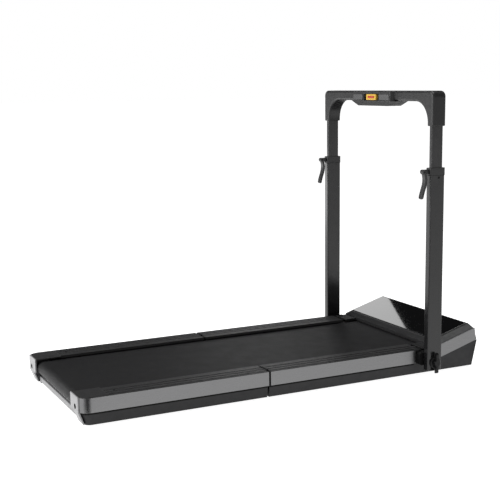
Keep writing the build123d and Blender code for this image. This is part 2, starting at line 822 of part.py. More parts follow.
def tension_bolts():
    """Belt tension bolts behind the holes in the end caps."""
    head_x = rear_x + cap_thickness + rail_leg
    shank_x = head_x + tension_head_length
    bolt = rod_x(tension_bolt_y, roller_z, tension_head_radius, head_x, shank_x)
    bolt += rod_x(tension_bolt_y, roller_z, tension_bolt_radius, shank_x,
                  rear_roller_x + axle_radius + tension_travel)
    bolt -= rod_x(tension_bolt_y, roller_z, tension_socket_radius, head_x, head_x + tension_socket_depth)
    return group(both(bolt))


def crossbar():
    """Light bar across the rear end, below the roller."""
    x0 = rear_x + crossbar_setback
    bar = block(x0, x0 + crossbar_depth, -side_plate_inner_y, side_plate_inner_y,
                crossbar_bottom, crossbar_bottom + crossbar_height)
    return fillet(bar.edges().filter_by(Axis.Y), crossbar_round)


# Fold hinge

def hinge_leaves(front):
    """Butt hinge leaves on the facing ends of the side tubes, with every other knuckle."""
    sign = 1 if front else -1
    inner = fold_x + sign * (fold_gap - hinge_leaf)
    outer = fold_x + sign * fold_gap
    leaf = block(inner, outer, hinge_inner_y, hinge_outer_y, hinge_z - hinge_leaf_drop - hinge_rise, hinge_z)
    step = (hinge_outer_y - hinge_inner_y) / hinge_knuckles
    for index in range(hinge_knuckles):
        y0 = hinge_inner_y + index * step
        y1 = y0 + step
        if (index % 2 == 0) == front:
            leaf += rod_y(fold_x, hinge_z, hinge_knuckle_radius, y0 + running_gap / 2, y1 - running_gap / 2)
        else:
            room = hinge_knuckle_radius + hinge_rise
            leaf -= block(fold_x - 2 * fold_gap, fold_x + 2 * fold_gap, y0 - running_gap / 2,
                          y1 + running_gap / 2, hinge_z - room, hinge_z + room)
    leaf -= rod_y(fold_x, hinge_z, hinge_pin_radius + shaft_gap, 0, far)
    return group(both(leaf))


def hinge_pins():
    """Pins of the two butt hinges."""
    return group(both(rod_y(fold_x, hinge_z, hinge_pin_radius, hinge_inner_y, hinge_outer_y)))


# Motor hood

def hood_form(inset, roof):
    """Form of the hood drawn in by an inset, with its sloping roof and chamfered sides."""
    rear = hood_x + inset
    side = deck_half_width - trim_wall - inset
    outline = [(rear, 0), (rear, hood_rear_z - inset), (panel_x + inset, panel_level(panel_x) - roof),
               (hood_top_x - inset, panel_level(hood_top_x) - roof), (nose_x - inset, nose_z),
               (nose_x - inset, 0)]
    form = prism_y(outline, -side, side)
    start = rear - section_over
    end = nose_x + section_over
    edge_rise = panel_level(panel_x) - band_upper(panel_x)
    slope_run = deck_half_width - trim_wall - panel_half_width
    lift = edge_rise * section_reach / slope_run

    def section(x, sign):
        """Waste above the chamfer at a place along the hood, on one side."""
        level = band_upper(x) - roof
        low_y = sign * (deck_half_width - trim_wall + section_reach)
        high_y = sign * (panel_half_width - section_reach)
        plane = Plane(origin=(x, 0, 0), x_dir=(0, 1, 0), z_dir=(1, 0, 0))
        top = level + edge_rise + lift
        points = [(low_y, level - lift), (high_y, top), (low_y, top)]
        return plane * make_face(Polyline(*points, close=True))

    for sign in (-1, 1):
        form -= loft([section(start, sign), section(end, sign)], ruled=True)
    return form


def hood_cover():
    """Hood shell with shoulders beside the belt and a pocket for the display panel."""
    shell = hood_form(0, 0) - hood_form(hood_wall, hood_roof)
    shoulder = block(shoulder_x, hood_x + hood_wall, rail_inner_y, hood_shoulder_half_width,
                     rail_under, rail_top)
    shoulder += block(shoulder_x, hood_x + hood_wall, rail_inner_y, rail_inner_y + rail_leg,
                      rail_top - skirt_depth, rail_under)
    for y in (tube_inner_y + rail_leg, tube_outer_y - 2 * rail_leg):
        shoulder += block(shoulder_x, hood_x + hood_wall, y, y + rail_leg, tube_top, rail_under)
    for piece in both(shoulder):
        shell += piece
    shell -= block(hood_x - cut_over, bracket_end_x + running_gap, hood_shoulder_half_width, far, 0, far)
    shell -= block(hood_x - cut_over, bracket_end_x + running_gap, -far, -hood_shoulder_half_width, 0, far)
    shell -= block(shoulder_x, hood_x + hood_wall + cut_over, -far, far, 0, tube_top)
    past_x = nose_x + section_over
    shell -= prism_y([(hood_x, 0), (hood_x, band_lower(hood_x)), (past_x, band_lower(past_x)), (past_x, 0)],
                     -far, far)
    shell -= block(hood_x, far, -far, far, 0, nose_z) & block(nose_x - 2 * hood_wall, far, -far, far, 0, far)
    shell -= panel_plate(panel_pocket, running_gap)
    shell -= roof_plane() * Box(window_length, 2 * window_half_width, 2 * hood_roof + panel_thickness)
    return shell


def roof_plane():
    """Plane at the middle of the display panel's underside, with its X up the slope."""
    middle = (panel_x + hood_top_x) / 2
    level = panel_level(middle)
    plane = Plane(origin=(middle, 0, level), x_dir=(1, 0, hood_slope), z_dir=(-hood_slope, 0, 1))
    return plane.offset(-panel_pocket)


def panel_plate(height, gap):
    """The display panel's plate on the roof, up to a height, with a gap all round."""
    slope_length = (hood_top_x - panel_x) * sqrt(1 + hood_slope ** 2)
    length = slope_length - 2 * panel_end_margin + 2 * gap
    width = 2 * (panel_half_width - panel_side_margin + gap)
    plate = Box(length, width, height, align=(Align.CENTER, Align.CENTER, Align.MIN))
    return roof_plane() * plate


def display_panel():
    """Glossy display panel with softened upper edges."""
    plate = panel_plate(panel_thickness, 0)
    plane = roof_plane()
    top = plate.faces().sort_by(Axis(plane.origin, plane.z_dir))[-1]
    return fillet(top.edges(), panel_round)


def display_module():
    """Lamp board of the display, behind the window in the roof."""
    board = Box(window_length - 2 * display_end_gap, 2 * (window_half_width - display_side_gap),
                display_depth,
                align=(Align.CENTER, Align.CENTER, Align.MAX))
    return roof_plane() * board


def hood_trims():
    """Side bands that climb beside the hood."""
    front = nose_x - band_front_setback
    lean = (hood_top_setback - band_front_setback) / 2
    start = bracket_end_x + running_gap
    strip = prism_y([(start, band_lower(start)), (front, band_lower(front)),
                     (front - lean, band_upper(front - lean)), (start, band_upper(start))],
                    deck_half_width - trim_wall, deck_half_width)
    return group(both(strip))


# Drive

def motor():
    """Drive motor: a ribbed can with end bells and a bore for its shaft."""
    can = rod_y(motor_x, motor_z, motor_radius, motor_right_y, motor_left_y)
    length = motor_left_y - motor_right_y
    for share in motor_groove_shares:
        y0 = motor_right_y + share * length - motor_groove_half_width
        y1 = y0 + 2 * motor_groove_half_width
        ring = rod_y(motor_x, motor_z, motor_radius + cut_over, y0, y1)
        can -= ring - rod_y(motor_x, motor_z, motor_radius - motor_groove_depth, y0, y1)
    return can - rod_y(motor_x, motor_z, motor_shaft_radius + shaft_gap, -far, far)


def motor_shaft():
    """Motor shaft with the flywheel at its left end."""
    wheel_start = motor_left_y + flywheel_gap
    wheel_end = wheel_start + flywheel_width
    shaft = rod_y(motor_x, motor_z, motor_shaft_radius, pulley_outer_y - motor_shaft_end, wheel_end)
    return shaft + rod_y(motor_x, motor_z, flywheel_radius, wheel_start, wheel_end)


def motor_pulley():
    """Small grooved pulley on the motor shaft."""
    return pulley_wheel(motor_x, motor_z, motor_pulley_radius, motor_shaft_radius)


def motor_cradle():
    """Cradle that carries the motor on the casing's floor."""
    floor = foot_height + casing_wall
    x0 = motor_x - cradle_half_length
    x1 = motor_x + cradle_half_length
    y0 = motor_right_y + cradle_end_inset
    y1 = motor_left_y - cradle_end_inset
    cradle = block(x0, x1, y0, y1, floor, floor + cradle_base)
    for y in (y0, y1 - cradle_plate):
        cradle += block(x0, x1, y, y + cradle_plate, floor, floor + cradle_height)
    return cradle - rod_y(motor_x, motor_z, motor_radius, -far, far)


def drive_belt():
    """Belt from the motor pulley to the roller pulley."""
    span_x = motor_x - front_roller_x
    span_z = motor_z - roller_z
    distance = sqrt(span_x ** 2 + span_z ** 2)
    turn = degrees(atan2(span_z, span_x))

    def loop(offset):
        """Outline of the belt at an offset from the two pulleys, along a level line."""
        big = roller_pulley_radius + offset
        small = motor_pulley_radius + offset
        rise = sqrt(1 - (big - small) ** 2 / distance ** 2)
        back = (big - small) / distance
        quad = Polyline((big * back, big * rise), (distance + small * back, small * rise),
                        (distance + small * back, -small * rise), (big * back, -big * rise), close=True)
        return Circle(big) + make_face(quad) + Pos(distance, 0) * Circle(small)

    ring = loop(running_gap + drive_belt_thickness) - loop(running_gap)
    start_y = pulley_inner_y - drive_belt_side_gap
    plane = Plane(origin=(front_roller_x, start_y, roller_z), x_dir=(1, 0, 0), z_dir=(0, -1, 0))
    return extrude(plane * Rot(0, 0, turn) * ring, pulley_width - 2 * drive_belt_side_gap)


def control_box():
    """Motor controller with a finned heat sink."""
    floor = foot_height + casing_wall
    x0 = motor_x - control_length / 2
    y0 = control_centre_y - control_width / 2
    box = block(x0, x0 + control_length, y0, y0 + control_width, floor, floor + control_height)
    pitch = control_width / control_fins
    for index in range(control_fins):
        y = y0 + (index + (1 - control_fin_share) / 2) * pitch
        box += block(x0, x0 + control_length, y, y + control_fin_share * pitch, floor + control_height,
                     floor + control_height + control_fin_height)
    return box


# Mains inlet, switch and wheels

def power_inlet():
    """Mains inlet in the front wall: a flanged socket with three pins."""
    place = nose_plane() * Pos(inlet_y, 0, 0)
    flange = Box(inlet_flange_width, inlet_flange_height, inlet_flange,
                 align=(Align.CENTER, Align.CENTER, Align.MIN))
    flange = fillet(flange.edges().filter_by(Axis.Z), inlet_corner)
    body = Box(inlet_body_width, inlet_body_height, inlet_body_depth,
               align=(Align.CENTER, Align.CENTER, Align.MAX))
    socket = Pos(0, 0, inlet_flange) * Box(inlet_socket_width, inlet_socket_height, inlet_socket_depth,
                                           align=(Align.CENTER, Align.CENTER, Align.MAX))
    inlet = flange + body - socket
    pin_floor = inlet_flange - inlet_socket_depth
    for index in (-1, 0, 1):
        lift = inlet_pin_lift if index == 0 else -inlet_pin_lift
        inlet += Pos(index * inlet_pin_pitch, lift, pin_floor) * Box(
            inlet_pin_width, inlet_pin_height, inlet_pin_length,
            align=(Align.CENTER, Align.CENTER, Align.MIN))
    return place * inlet


def switch_housing():
    """Frame of the mains switch in the front wall."""
    place = nose_plane() * Pos(switch_y, 0, 0)
    flange_width = switch_body_width + 2 * switch_lip
    flange = Box(flange_width, switch_body_height + 2 * switch_lip, inlet_flange,
                 align=(Align.CENTER, Align.CENTER, Align.MIN))
    body = Box(switch_body_width, switch_body_height, switch_depth,
               align=(Align.CENTER, Align.CENTER, Align.MAX))
    pocket_depth = switch_depth + inlet_flange - casing_wall
    pocket = Box(rocker_width + 2 * rocker_side_gap, rocker_height + 2 * rocker_swing_room, pocket_depth,
                 align=(Align.CENTER, Align.CENTER, Align.MAX))
    trunnion = Rot(0, 90, 0) * Cylinder(rocker_trunnion_radius + shaft_gap, flange_width)
    return place * (flange + body - Pos(0, 0, inlet_flange) * pocket - Pos(0, 0, rocker_level) * trunnion)


def switch_rocker():
    """Rocker of the mains switch, tipped to its off side."""
    place = nose_plane() * Pos(switch_y, 0, rocker_level) * Rot(rocker_tilt, 0, 0)
    rocker = fillet(Box(rocker_width, rocker_height, rocker_depth).edges().filter_by(Axis.X), rocker_round)
    return place * (rocker + Rot(0, 90, 0) * Cylinder(rocker_trunnion_radius, switch_body_width))


def wheel(side):
    """Transport wheel under the nose."""
    y = side * wheel_y
    tyre = rod_y(wheel_x, wheel_z, wheel_radius, y - wheel_width / 2, y + wheel_width / 2)
    tyre = chamfer(tyre.edges().filter_by(GeomType.CIRCLE), wheel_round)
    return tyre - rod_y(wheel_x, wheel_z, wheel_axle_radius + shaft_gap, y - wheel_width, y + wheel_width)


def wheel_axles():
    """Pins of the transport wheels."""
    reach = wheel_width / 2 + wheel_side_gap + wheel_rib
    return group(both(rod_y(wheel_x, wheel_z, wheel_axle_radius, wheel_y - reach, wheel_y + reach)))


# Handle posts

def tube_z(x, y, size_x, size_y, corner, z0, z1):
    """Upright bar with rounded corners."""
    return extrude(Pos(x, y, z0) * RectangleRounded(size_x, size_y, corner), z1 - z0)


def post_brackets():
    """Pivot brackets on the side of the deck."""
    slab = block(bracket_x, bracket_end_x, bracket_inner_y, post_inner_y - running_gap,
                 bracket_bottom, bracket_top)
    slab = fillet(slab.edges().filter_by(Axis.Y), bracket_corner)
    slab += block(bracket_x + bracket_corner, bracket_end_x - bracket_corner, tube_outer_y, bracket_inner_y,
                  trim_bottom + 2 * flange_thickness, tube_top)
    slab -= block(bracket_x + bracket_wall, bracket_end_x - bracket_wall, bracket_inner_y + bracket_wall,
                  post_inner_y - running_gap - bracket_wall, 0, bracket_top - bracket_wall)
    slab += rod_y(post_x, pivot_z, bracket_boss, bracket_inner_y, post_inner_y - running_gap)
    slab -= rod_y(post_x, pivot_z, pivot_radius, bracket_inner_y, far)
    return group(both(slab))


def pivot_bolts():
    """Pivot bolts of the posts, from the brackets out into the knobs."""
    end = post_outer_y + knob_thickness + knob_wing_reach - knob_blind
    return group(both(rod_y(post_x, pivot_z, pivot_radius, bracket_inner_y, end)))


def posts():
    """Outer tubes of the handle."""
    tube = tube_z(post_x, post_centre_y, post_length_x, post_length_y, post_corner, post_bottom, post_top)
    tube -= tube_z(post_x, post_centre_y, post_length_x - 2 * post_wall, post_length_y - 2 * post_wall,
                   post_corner - post_wall, post_bottom, post_top)
    tube -= rod_y(post_x, pivot_z, pivot_radius + shaft_gap, 0, far)
    return group(both(tube))


def post_shoes():
    """Plugs in the feet of the posts, bored for the pivot bolts."""
    plug = tube_z(post_x, post_centre_y, post_length_x - 2 * post_wall, post_length_y - 2 * post_wall,
                  post_corner - post_wall, post_bottom, post_bottom + shoe_height)
    plug -= rod_y(post_x, pivot_z, pivot_radius + shaft_gap, 0, far)
    return group(both(plug))


def knob(side):
    """Wing knob that locks a post at its pivot."""
    face = post_outer_y + running_gap
    end = face + knob_thickness + knob_wing_reach
    turn = rod_y(post_x, pivot_z, knob_radius, face, face + knob_thickness)
    turn = chamfer(turn.edges().sort_by(Axis.Y)[-1], knob_round)
    half = knob_wing_thickness / 2
    wing = block(post_x - half, post_x + half, face + knob_thickness, end,
                 pivot_z - knob_wing_height / 2, pivot_z + knob_wing_height / 2)
    wing = fillet(wing.edges().filter_by(Axis.X).group_by(Axis.Y)[-1], knob_wing_round)
    boss = rod_y(post_x, pivot_z, pivot_radius + knob_boss_wall, face, end)
    turn = turn + wing + boss - rod_y(post_x, pivot_z, pivot_radius + shaft_gap, face, end - knob_blind)
    return turn if side > 0 else mirror(turn, about=Plane.XZ)


def collars():
    """Clamp collars on the posts: a cap, a guide spigot and a lug for the lever."""
    ring = tube_z(post_x, post_centre_y, post_length_x + 2 * collar_lip, post_length_y + 2 * collar_lip,
                  post_corner + collar_lip, post_top - collar_band, collar_top)
    lug_x = lever_x - lever_head_radius
    lug = block(lever_x, post_x, post_centre_y - lever_lug_width / 2, post_centre_y + lever_lug_width / 2,
                lever_z - lever_head_radius, lever_z + lever_head_radius)
    lug += rod_y(lever_x, lever_z, lever_head_radius, post_centre_y - lever_lug_width / 2,
                 post_centre_y + lever_lug_width / 2)
    ring += lug & block(lug_x, post_x, 0, far, post_top - collar_band, collar_top)
    ring -= tube_z(post_x, post_centre_y, post_length_x, post_length_y, post_corner,
                   post_top - 2 * collar_band, post_top)
    ring += tube_z(post_x, post_centre_y, post_length_x - 2 * post_wall, post_length_y - 2 * post_wall,
                   post_corner - post_wall, post_top - collar_spigot, post_top)
    ring -= tube_z(post_x, post_centre_y, stem_length_x + 2 * stem_gap, stem_length_y + 2 * stem_gap,
                   stem_corner, post_bottom, far)
    ring -= rod_y(lever_x, lever_z, lever_pin_radius, 0, far)
    return group(both(ring))


def lever_pins():
    """Pins of the cam levers."""
    reach = lever_width / 2
    pin = rod_y(lever_x, lever_z, lever_pin_radius, post_centre_y - reach, post_centre_y + reach)
    return group(both(pin))


def lever(side):
    """Cam lever: a forked head and an S-shaped tail that hangs down behind the post."""
    start = (lever_x, post_centre_y + lever_width / 2, lever_z)
    plane = Plane(origin=start, x_dir=(1, 0, 0), z_dir=(0, -1, 0))
    tip_x, tip_z = lever_tail[-1]
    outline = trace(Spline(*lever_tail), lever_thickness) + Circle(lever_head_radius)
    outline += Pos(tip_x, tip_z) * Circle(lever_thickness / 2)
    arm = extrude(plane * outline, lever_width)
    tip_level = lever_z + tip_z - lever_thickness / 2
    height = lever_z + lever_head_radius - tip_level
    blank = Pos(0, tip_level + height / 2) * Rectangle(lever_width, height)
    blank = fillet(blank.vertices().group_by(Axis.Y)[0], lever_tip_round)
    front = Plane(origin=(lever_x, post_centre_y, 0), x_dir=(0, 1, 0), z_dir=(1, 0, 0))
    arm &= extrude(front * blank, far, both=True)
    room = lever_head_radius + running_gap
    slot = lever_lug_width / 2 + running_gap
    arm -= block(lever_x - room, lever_x + far, post_centre_y - slot, post_centre_y + slot,
                 lever_z - room, lever_z + far)
    arm -= rod_y(lever_x, lever_z, lever_pin_radius + shaft_gap, 0, far)
    arm -= rod_x(post_centre_y, lever_z + tip_z + lever_hole_inset, lever_hole_radius, lever_x - far, lever_x)
    return arm if side > 0 else mirror(arm, about=Plane.XZ)


# Handlebar and console

def stems():
    """Inner tubes of the handle."""
    top = bar_leg_bottom + stem_seat
    tube = tube_z(post_x, post_centre_y, stem_length_x, stem_length_y, stem_corner, stem_bottom, top)
    tube -= tube_z(post_x, post_centre_y, stem_length_x - 2 * stem_wall, stem_length_y - 2 * stem_wall,
                   stem_corner - stem_wall, stem_bottom, top)
    return group(both(tube))


def handlebar():
    """Moulded handlebar: a crossbar that curves down into two legs."""
    outer_y = post_centre_y + bar_leg_thickness / 2
    inner_y = post_centre_y - bar_leg_thickness / 2
    height = bar_top - bar_leg_bottom
    plane = Plane(origin=(bar_rear_x, 0, bar_leg_bottom), x_dir=(0, 1, 0), z_dir=(1, 0, 0))
    block_face = Pos(0, height / 2) * Rectangle(2 * outer_y, height)
    block_face = fillet(block_face.vertices().group_by(Axis.Y)[-1], bar_outer_radius)
    arch_height = bar_under - bar_leg_bottom
    arch = Pos(0, arch_height / 2) * Rectangle(2 * inner_y, arch_height)
    arch = fillet(arch.vertices().group_by(Axis.Y)[-1], min(bar_arch_radius, arch_height - cut_over))
    bar = extrude(plane * (block_face - arch), bar_depth)
    levels = bar.faces().filter_by(Axis.X).group_by(Axis.X)
    edges = [edge for face in levels[0] + levels[-1] for edge in face.edges()]
    bar = fillet([edge for edge in edges if edge.center().Z > bar_leg_bottom + cut_over], bar_edge_radius)
    bar = fillet(bar.faces().group_by(Axis.Z)[0].edges(), bar_leg_round)
    for side in (-1, 1):
        bar -= tube_z(post_x, side * post_centre_y, stem_length_x, stem_length_y, stem_corner,
                      bar_leg_bottom - cut_over, bar_leg_bottom + stem_seat)
    return bar


def console():
    """Console on the crossbar: a raised face with a key bay and button wells, and a bulge below."""
    plane = Plane.XY.offset(console_bottom)
    outline = [(bar_rear_x, -console_foot_half_width), (console_x, -console_half_width),
               (console_x, console_half_width), (bar_rear_x, console_foot_half_width)]
    face = extrude(plane * make_face(Polyline(*outline, close=True)), console_top - console_bottom)
    face = fillet(face.edges().filter_by(Axis.Z).group_by(Axis.X)[0], console_round)
    face -= block(console_x, console_x + bay_depth, -bay_half_width, bay_half_width,
                  pad_z - pad_height / 2 - bay_margin, pad_z + pad_height / 2 + bay_margin)
    well_depth = pad_depth - pad_proud + 2 * pad_travel
    for side in (-1, 1):
        face -= block(console_x, console_x + well_depth, side * (pad_inner_y - pad_gap),
                      side * (pad_outer_y + pad_gap), pad_z - pad_height / 2 - pad_gap,
                      pad_z + pad_height / 2 + pad_gap)
    bulge = prism_x([(-bulge_top_half_width, bar_under), (-bulge_bottom_half_width, bulge_bottom),
                     (bulge_bottom_half_width, bulge_bottom), (bulge_top_half_width, bar_under)],
                    bar_rear_x - bulge_rear, bar_front_x - bulge_front_setback)
    return face + bulge


def button(side):
    """Push button in the console."""
    x0 = console_x - pad_proud
    pad = block(x0, x0 + pad_depth, side * pad_inner_y, side * pad_outer_y,
                pad_z - pad_height / 2, pad_z + pad_height / 2)
    return fillet(pad.edges().filter_by(Axis.X), pad_corner)


def safety_key():
    """Pull-off safety key with a shallow recess for its coloured insert."""
    x0 = console_x - key_proud
    key = block(x0, console_x + bay_depth, -key_half_width, key_half_width,
                pad_z - key_height / 2, pad_z + key_height / 2)
    key = fillet(key.edges().filter_by(Axis.X), key_corner)
    return key - key_insert()


def key_insert():
    """Plain coloured insert in the safety key."""
    x0 = console_x - key_proud
    return block(x0, x0 + insert_depth, -insert_half_width, insert_half_width,
                 pad_z - insert_height / 2, pad_z + insert_height / 2)


def build():
    """Every node of the treadmill, by name."""
    return {
        "front_frame": front_frame(),
        "front_casing": front_casing(),
        "front_deck_board": block(fold_x + fold_gap + board_end_gap, board_front_x,
                                  -board_half_width, board_half_width, board_bottom, board_top),
        "front_cushions": cushions(front_cross_x()),
        "front_foot_rails": group(both(rail_section(fold_x + fold_gap, rail_front_x))),
        "front_trims": group(both(straight_trim(fold_x + fold_gap, bracket_x - running_gap))),
        "front_feet": feet([fold_x + foot_fold_inset, front_roller_x - front_foot_inset]),
        "front_belt": belt_half(front_roller_x, fold_x + belt_seam_gap),
        "front_axle": axle(front_roller_x, front_axle_half_length, tube_inner_y - tube_wall),
        "front_roller": roller(front_roller_x, True),
        "front_bearings": bearings(front_roller_x),
        "hood_cover": hood_cover(),
        "hood_trims": hood_trims(),
        "display_panel": display_panel(),
        "display_module": display_module(),
        "motor": motor(),
        "motor_cradle": motor_cradle(),
        "motor_rotor": group(motor_shaft().solids() + motor_pulley().solids()),
        "drive_belt": drive_belt(),
        "control_box": control_box(),
        "power_inlet": power_inlet(),
        "switch_housing": switch_housing(),
        "switch_rocker": switch_rocker(),
        "wheel_axles": wheel_axles(),
        "wheel_left": wheel(1),
        "wheel_right": wheel(-1),
        "rear_frame": rear_frame(),
        "rear_casing": rear_casing(),
        "rear_deck_board": block(board_rear_x, fold_x - fold_gap - board_end_gap,
                                 -board_half_width, board_half_width, board_bottom, board_top),
        "rear_cushions": cushions(rear_cross_x()),
        "rear_foot_rails": group(both(rail_section(rear_x + rail_end_length, fold_x - fold_gap))),
        "rear_trims": rear_trims(),
        "rear_rail_ends": rail_ends(),
        "rear_end_caps": end_caps(),
        "rear_crossbar": crossbar(),
        "rear_feet": feet([fold_x - foot_fold_inset, rear_x + rear_foot_inset]),
        "rear_belt": belt_half(rear_roller_x, fold_x - belt_seam_gap),
        "rear_axle": rear_axle(),
        "rear_roller": roller(rear_roller_x, False),
        "rear_bearings": bearings(rear_roller_x),
        "tension_bolts": tension_bolts(),
        "hinge_front_leaves": hinge_leaves(True),
        "hinge_rear_leaves": hinge_leaves(False),
        "hinge_pins": hinge_pins(),
        "post_brackets": post_brackets(),
        "pivot_bolts": pivot_bolts(),
        "posts": posts(),
        "post_shoes": post_shoes(),
        "lock_knob_left": knob(1),
        "lock_knob_right": knob(-1),
        "clamp_collars": collars(),
        "lever_pins": lever_pins(),
        "clamp_lever_left": lever(1),
        "clamp_lever_right": lever(-1),
        "stems": stems(),
        "handlebar": handlebar(),
        "console": console(),
        "button_left": button(1),
        "button_right": button(-1),
        "safety_key": safety_key(),
    }


os.makedirs("parts", exist_ok=True)
for name, shape in build().items():
    export_step(shape, f"parts/{name}.step")
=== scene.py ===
"""Blender scene of a folding walking treadmill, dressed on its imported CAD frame, in metres."""

import json
import logging
import math
from dataclasses import dataclass
from enum import Enum

import bmesh
import bpy
from mathutils import Matrix, Vector

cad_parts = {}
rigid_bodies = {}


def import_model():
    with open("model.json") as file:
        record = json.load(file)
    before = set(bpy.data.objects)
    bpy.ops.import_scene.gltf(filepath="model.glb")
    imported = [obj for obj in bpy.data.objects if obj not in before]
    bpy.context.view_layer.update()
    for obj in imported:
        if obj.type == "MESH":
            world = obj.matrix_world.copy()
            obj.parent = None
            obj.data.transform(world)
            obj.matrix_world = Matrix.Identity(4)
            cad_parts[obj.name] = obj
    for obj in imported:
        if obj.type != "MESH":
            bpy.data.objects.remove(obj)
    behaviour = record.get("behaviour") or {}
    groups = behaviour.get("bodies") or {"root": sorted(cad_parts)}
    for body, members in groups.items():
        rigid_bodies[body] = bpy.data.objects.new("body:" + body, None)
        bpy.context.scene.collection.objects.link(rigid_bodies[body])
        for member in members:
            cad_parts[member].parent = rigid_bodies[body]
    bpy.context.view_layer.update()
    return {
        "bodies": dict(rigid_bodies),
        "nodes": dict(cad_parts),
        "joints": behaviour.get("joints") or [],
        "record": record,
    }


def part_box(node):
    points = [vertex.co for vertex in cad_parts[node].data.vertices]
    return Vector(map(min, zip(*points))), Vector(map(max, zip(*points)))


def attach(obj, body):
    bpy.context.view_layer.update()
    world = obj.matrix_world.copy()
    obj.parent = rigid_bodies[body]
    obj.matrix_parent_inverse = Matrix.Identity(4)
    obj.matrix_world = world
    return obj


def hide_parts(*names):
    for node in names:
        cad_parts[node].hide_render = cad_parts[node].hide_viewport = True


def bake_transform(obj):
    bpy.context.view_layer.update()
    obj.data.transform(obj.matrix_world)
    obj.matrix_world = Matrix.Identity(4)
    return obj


LOG = logging.getLogger("treadmill")

Colour = tuple[float, float, float]
Point = tuple[float, float, float]
Stretch = tuple[float, float, float]
Spot = tuple[float, float]
Material = bpy.types.Material
Mesh = bmesh.types.BMesh
Piece = bpy.types.Object
Socket = bpy.types.NodeSocket
Vert = bmesh.types.BMVert

EVEN: Stretch = (1.0, 1.0, 1.0)
WHITE = (1.0, 1.0, 1.0, 1.0)

# Values between which most of a noise lies
NOISE_LOW = 0.3
NOISE_HIGH = 0.7

# Edges flatter than this many degrees are shaded smooth
SMOOTH_ANGLE = 40.0


class Side(Enum):
    """The two sides of the machine, by the sign of their Y."""

    LEFT = 1
    RIGHT = -1

    @property
    def label(self) -> str:
        """Word for the side in the names of pieces."""
        return self.name.lower()


class Half(Enum):
    """The two halves of the deck, by the first word of their nodes' names."""

    REAR = "rear"
    FRONT = "front"


class Run(Enum):
    """The two runs of the belt loop, by the names of their pieces."""

    UPPER = "running_belt"
    LOWER = "return_belt"


class Facing(Enum):
    """Directions that the head of a small piece can face."""

    UP = (0.0, 0.0, 1.0)
    LEFT = (0.0, 1.0, 0.0)
    RIGHT = (0.0, -1.0, 0.0)
    REAR = (-1.0, 0.0, 0.0)
    DOWN = (0.0, 0.0, -1.0)

    @property
    def turn(self) -> Matrix:
        """Rotation that turns Z into the direction."""
        return Vector(self.value).to_track_quat("Z", "Y").to_matrix().to_4x4()


class Placing(Enum):
    """Coordinates that can place a material's detail."""

    PIECE = "Object"
    LAID_OUT = "UV"


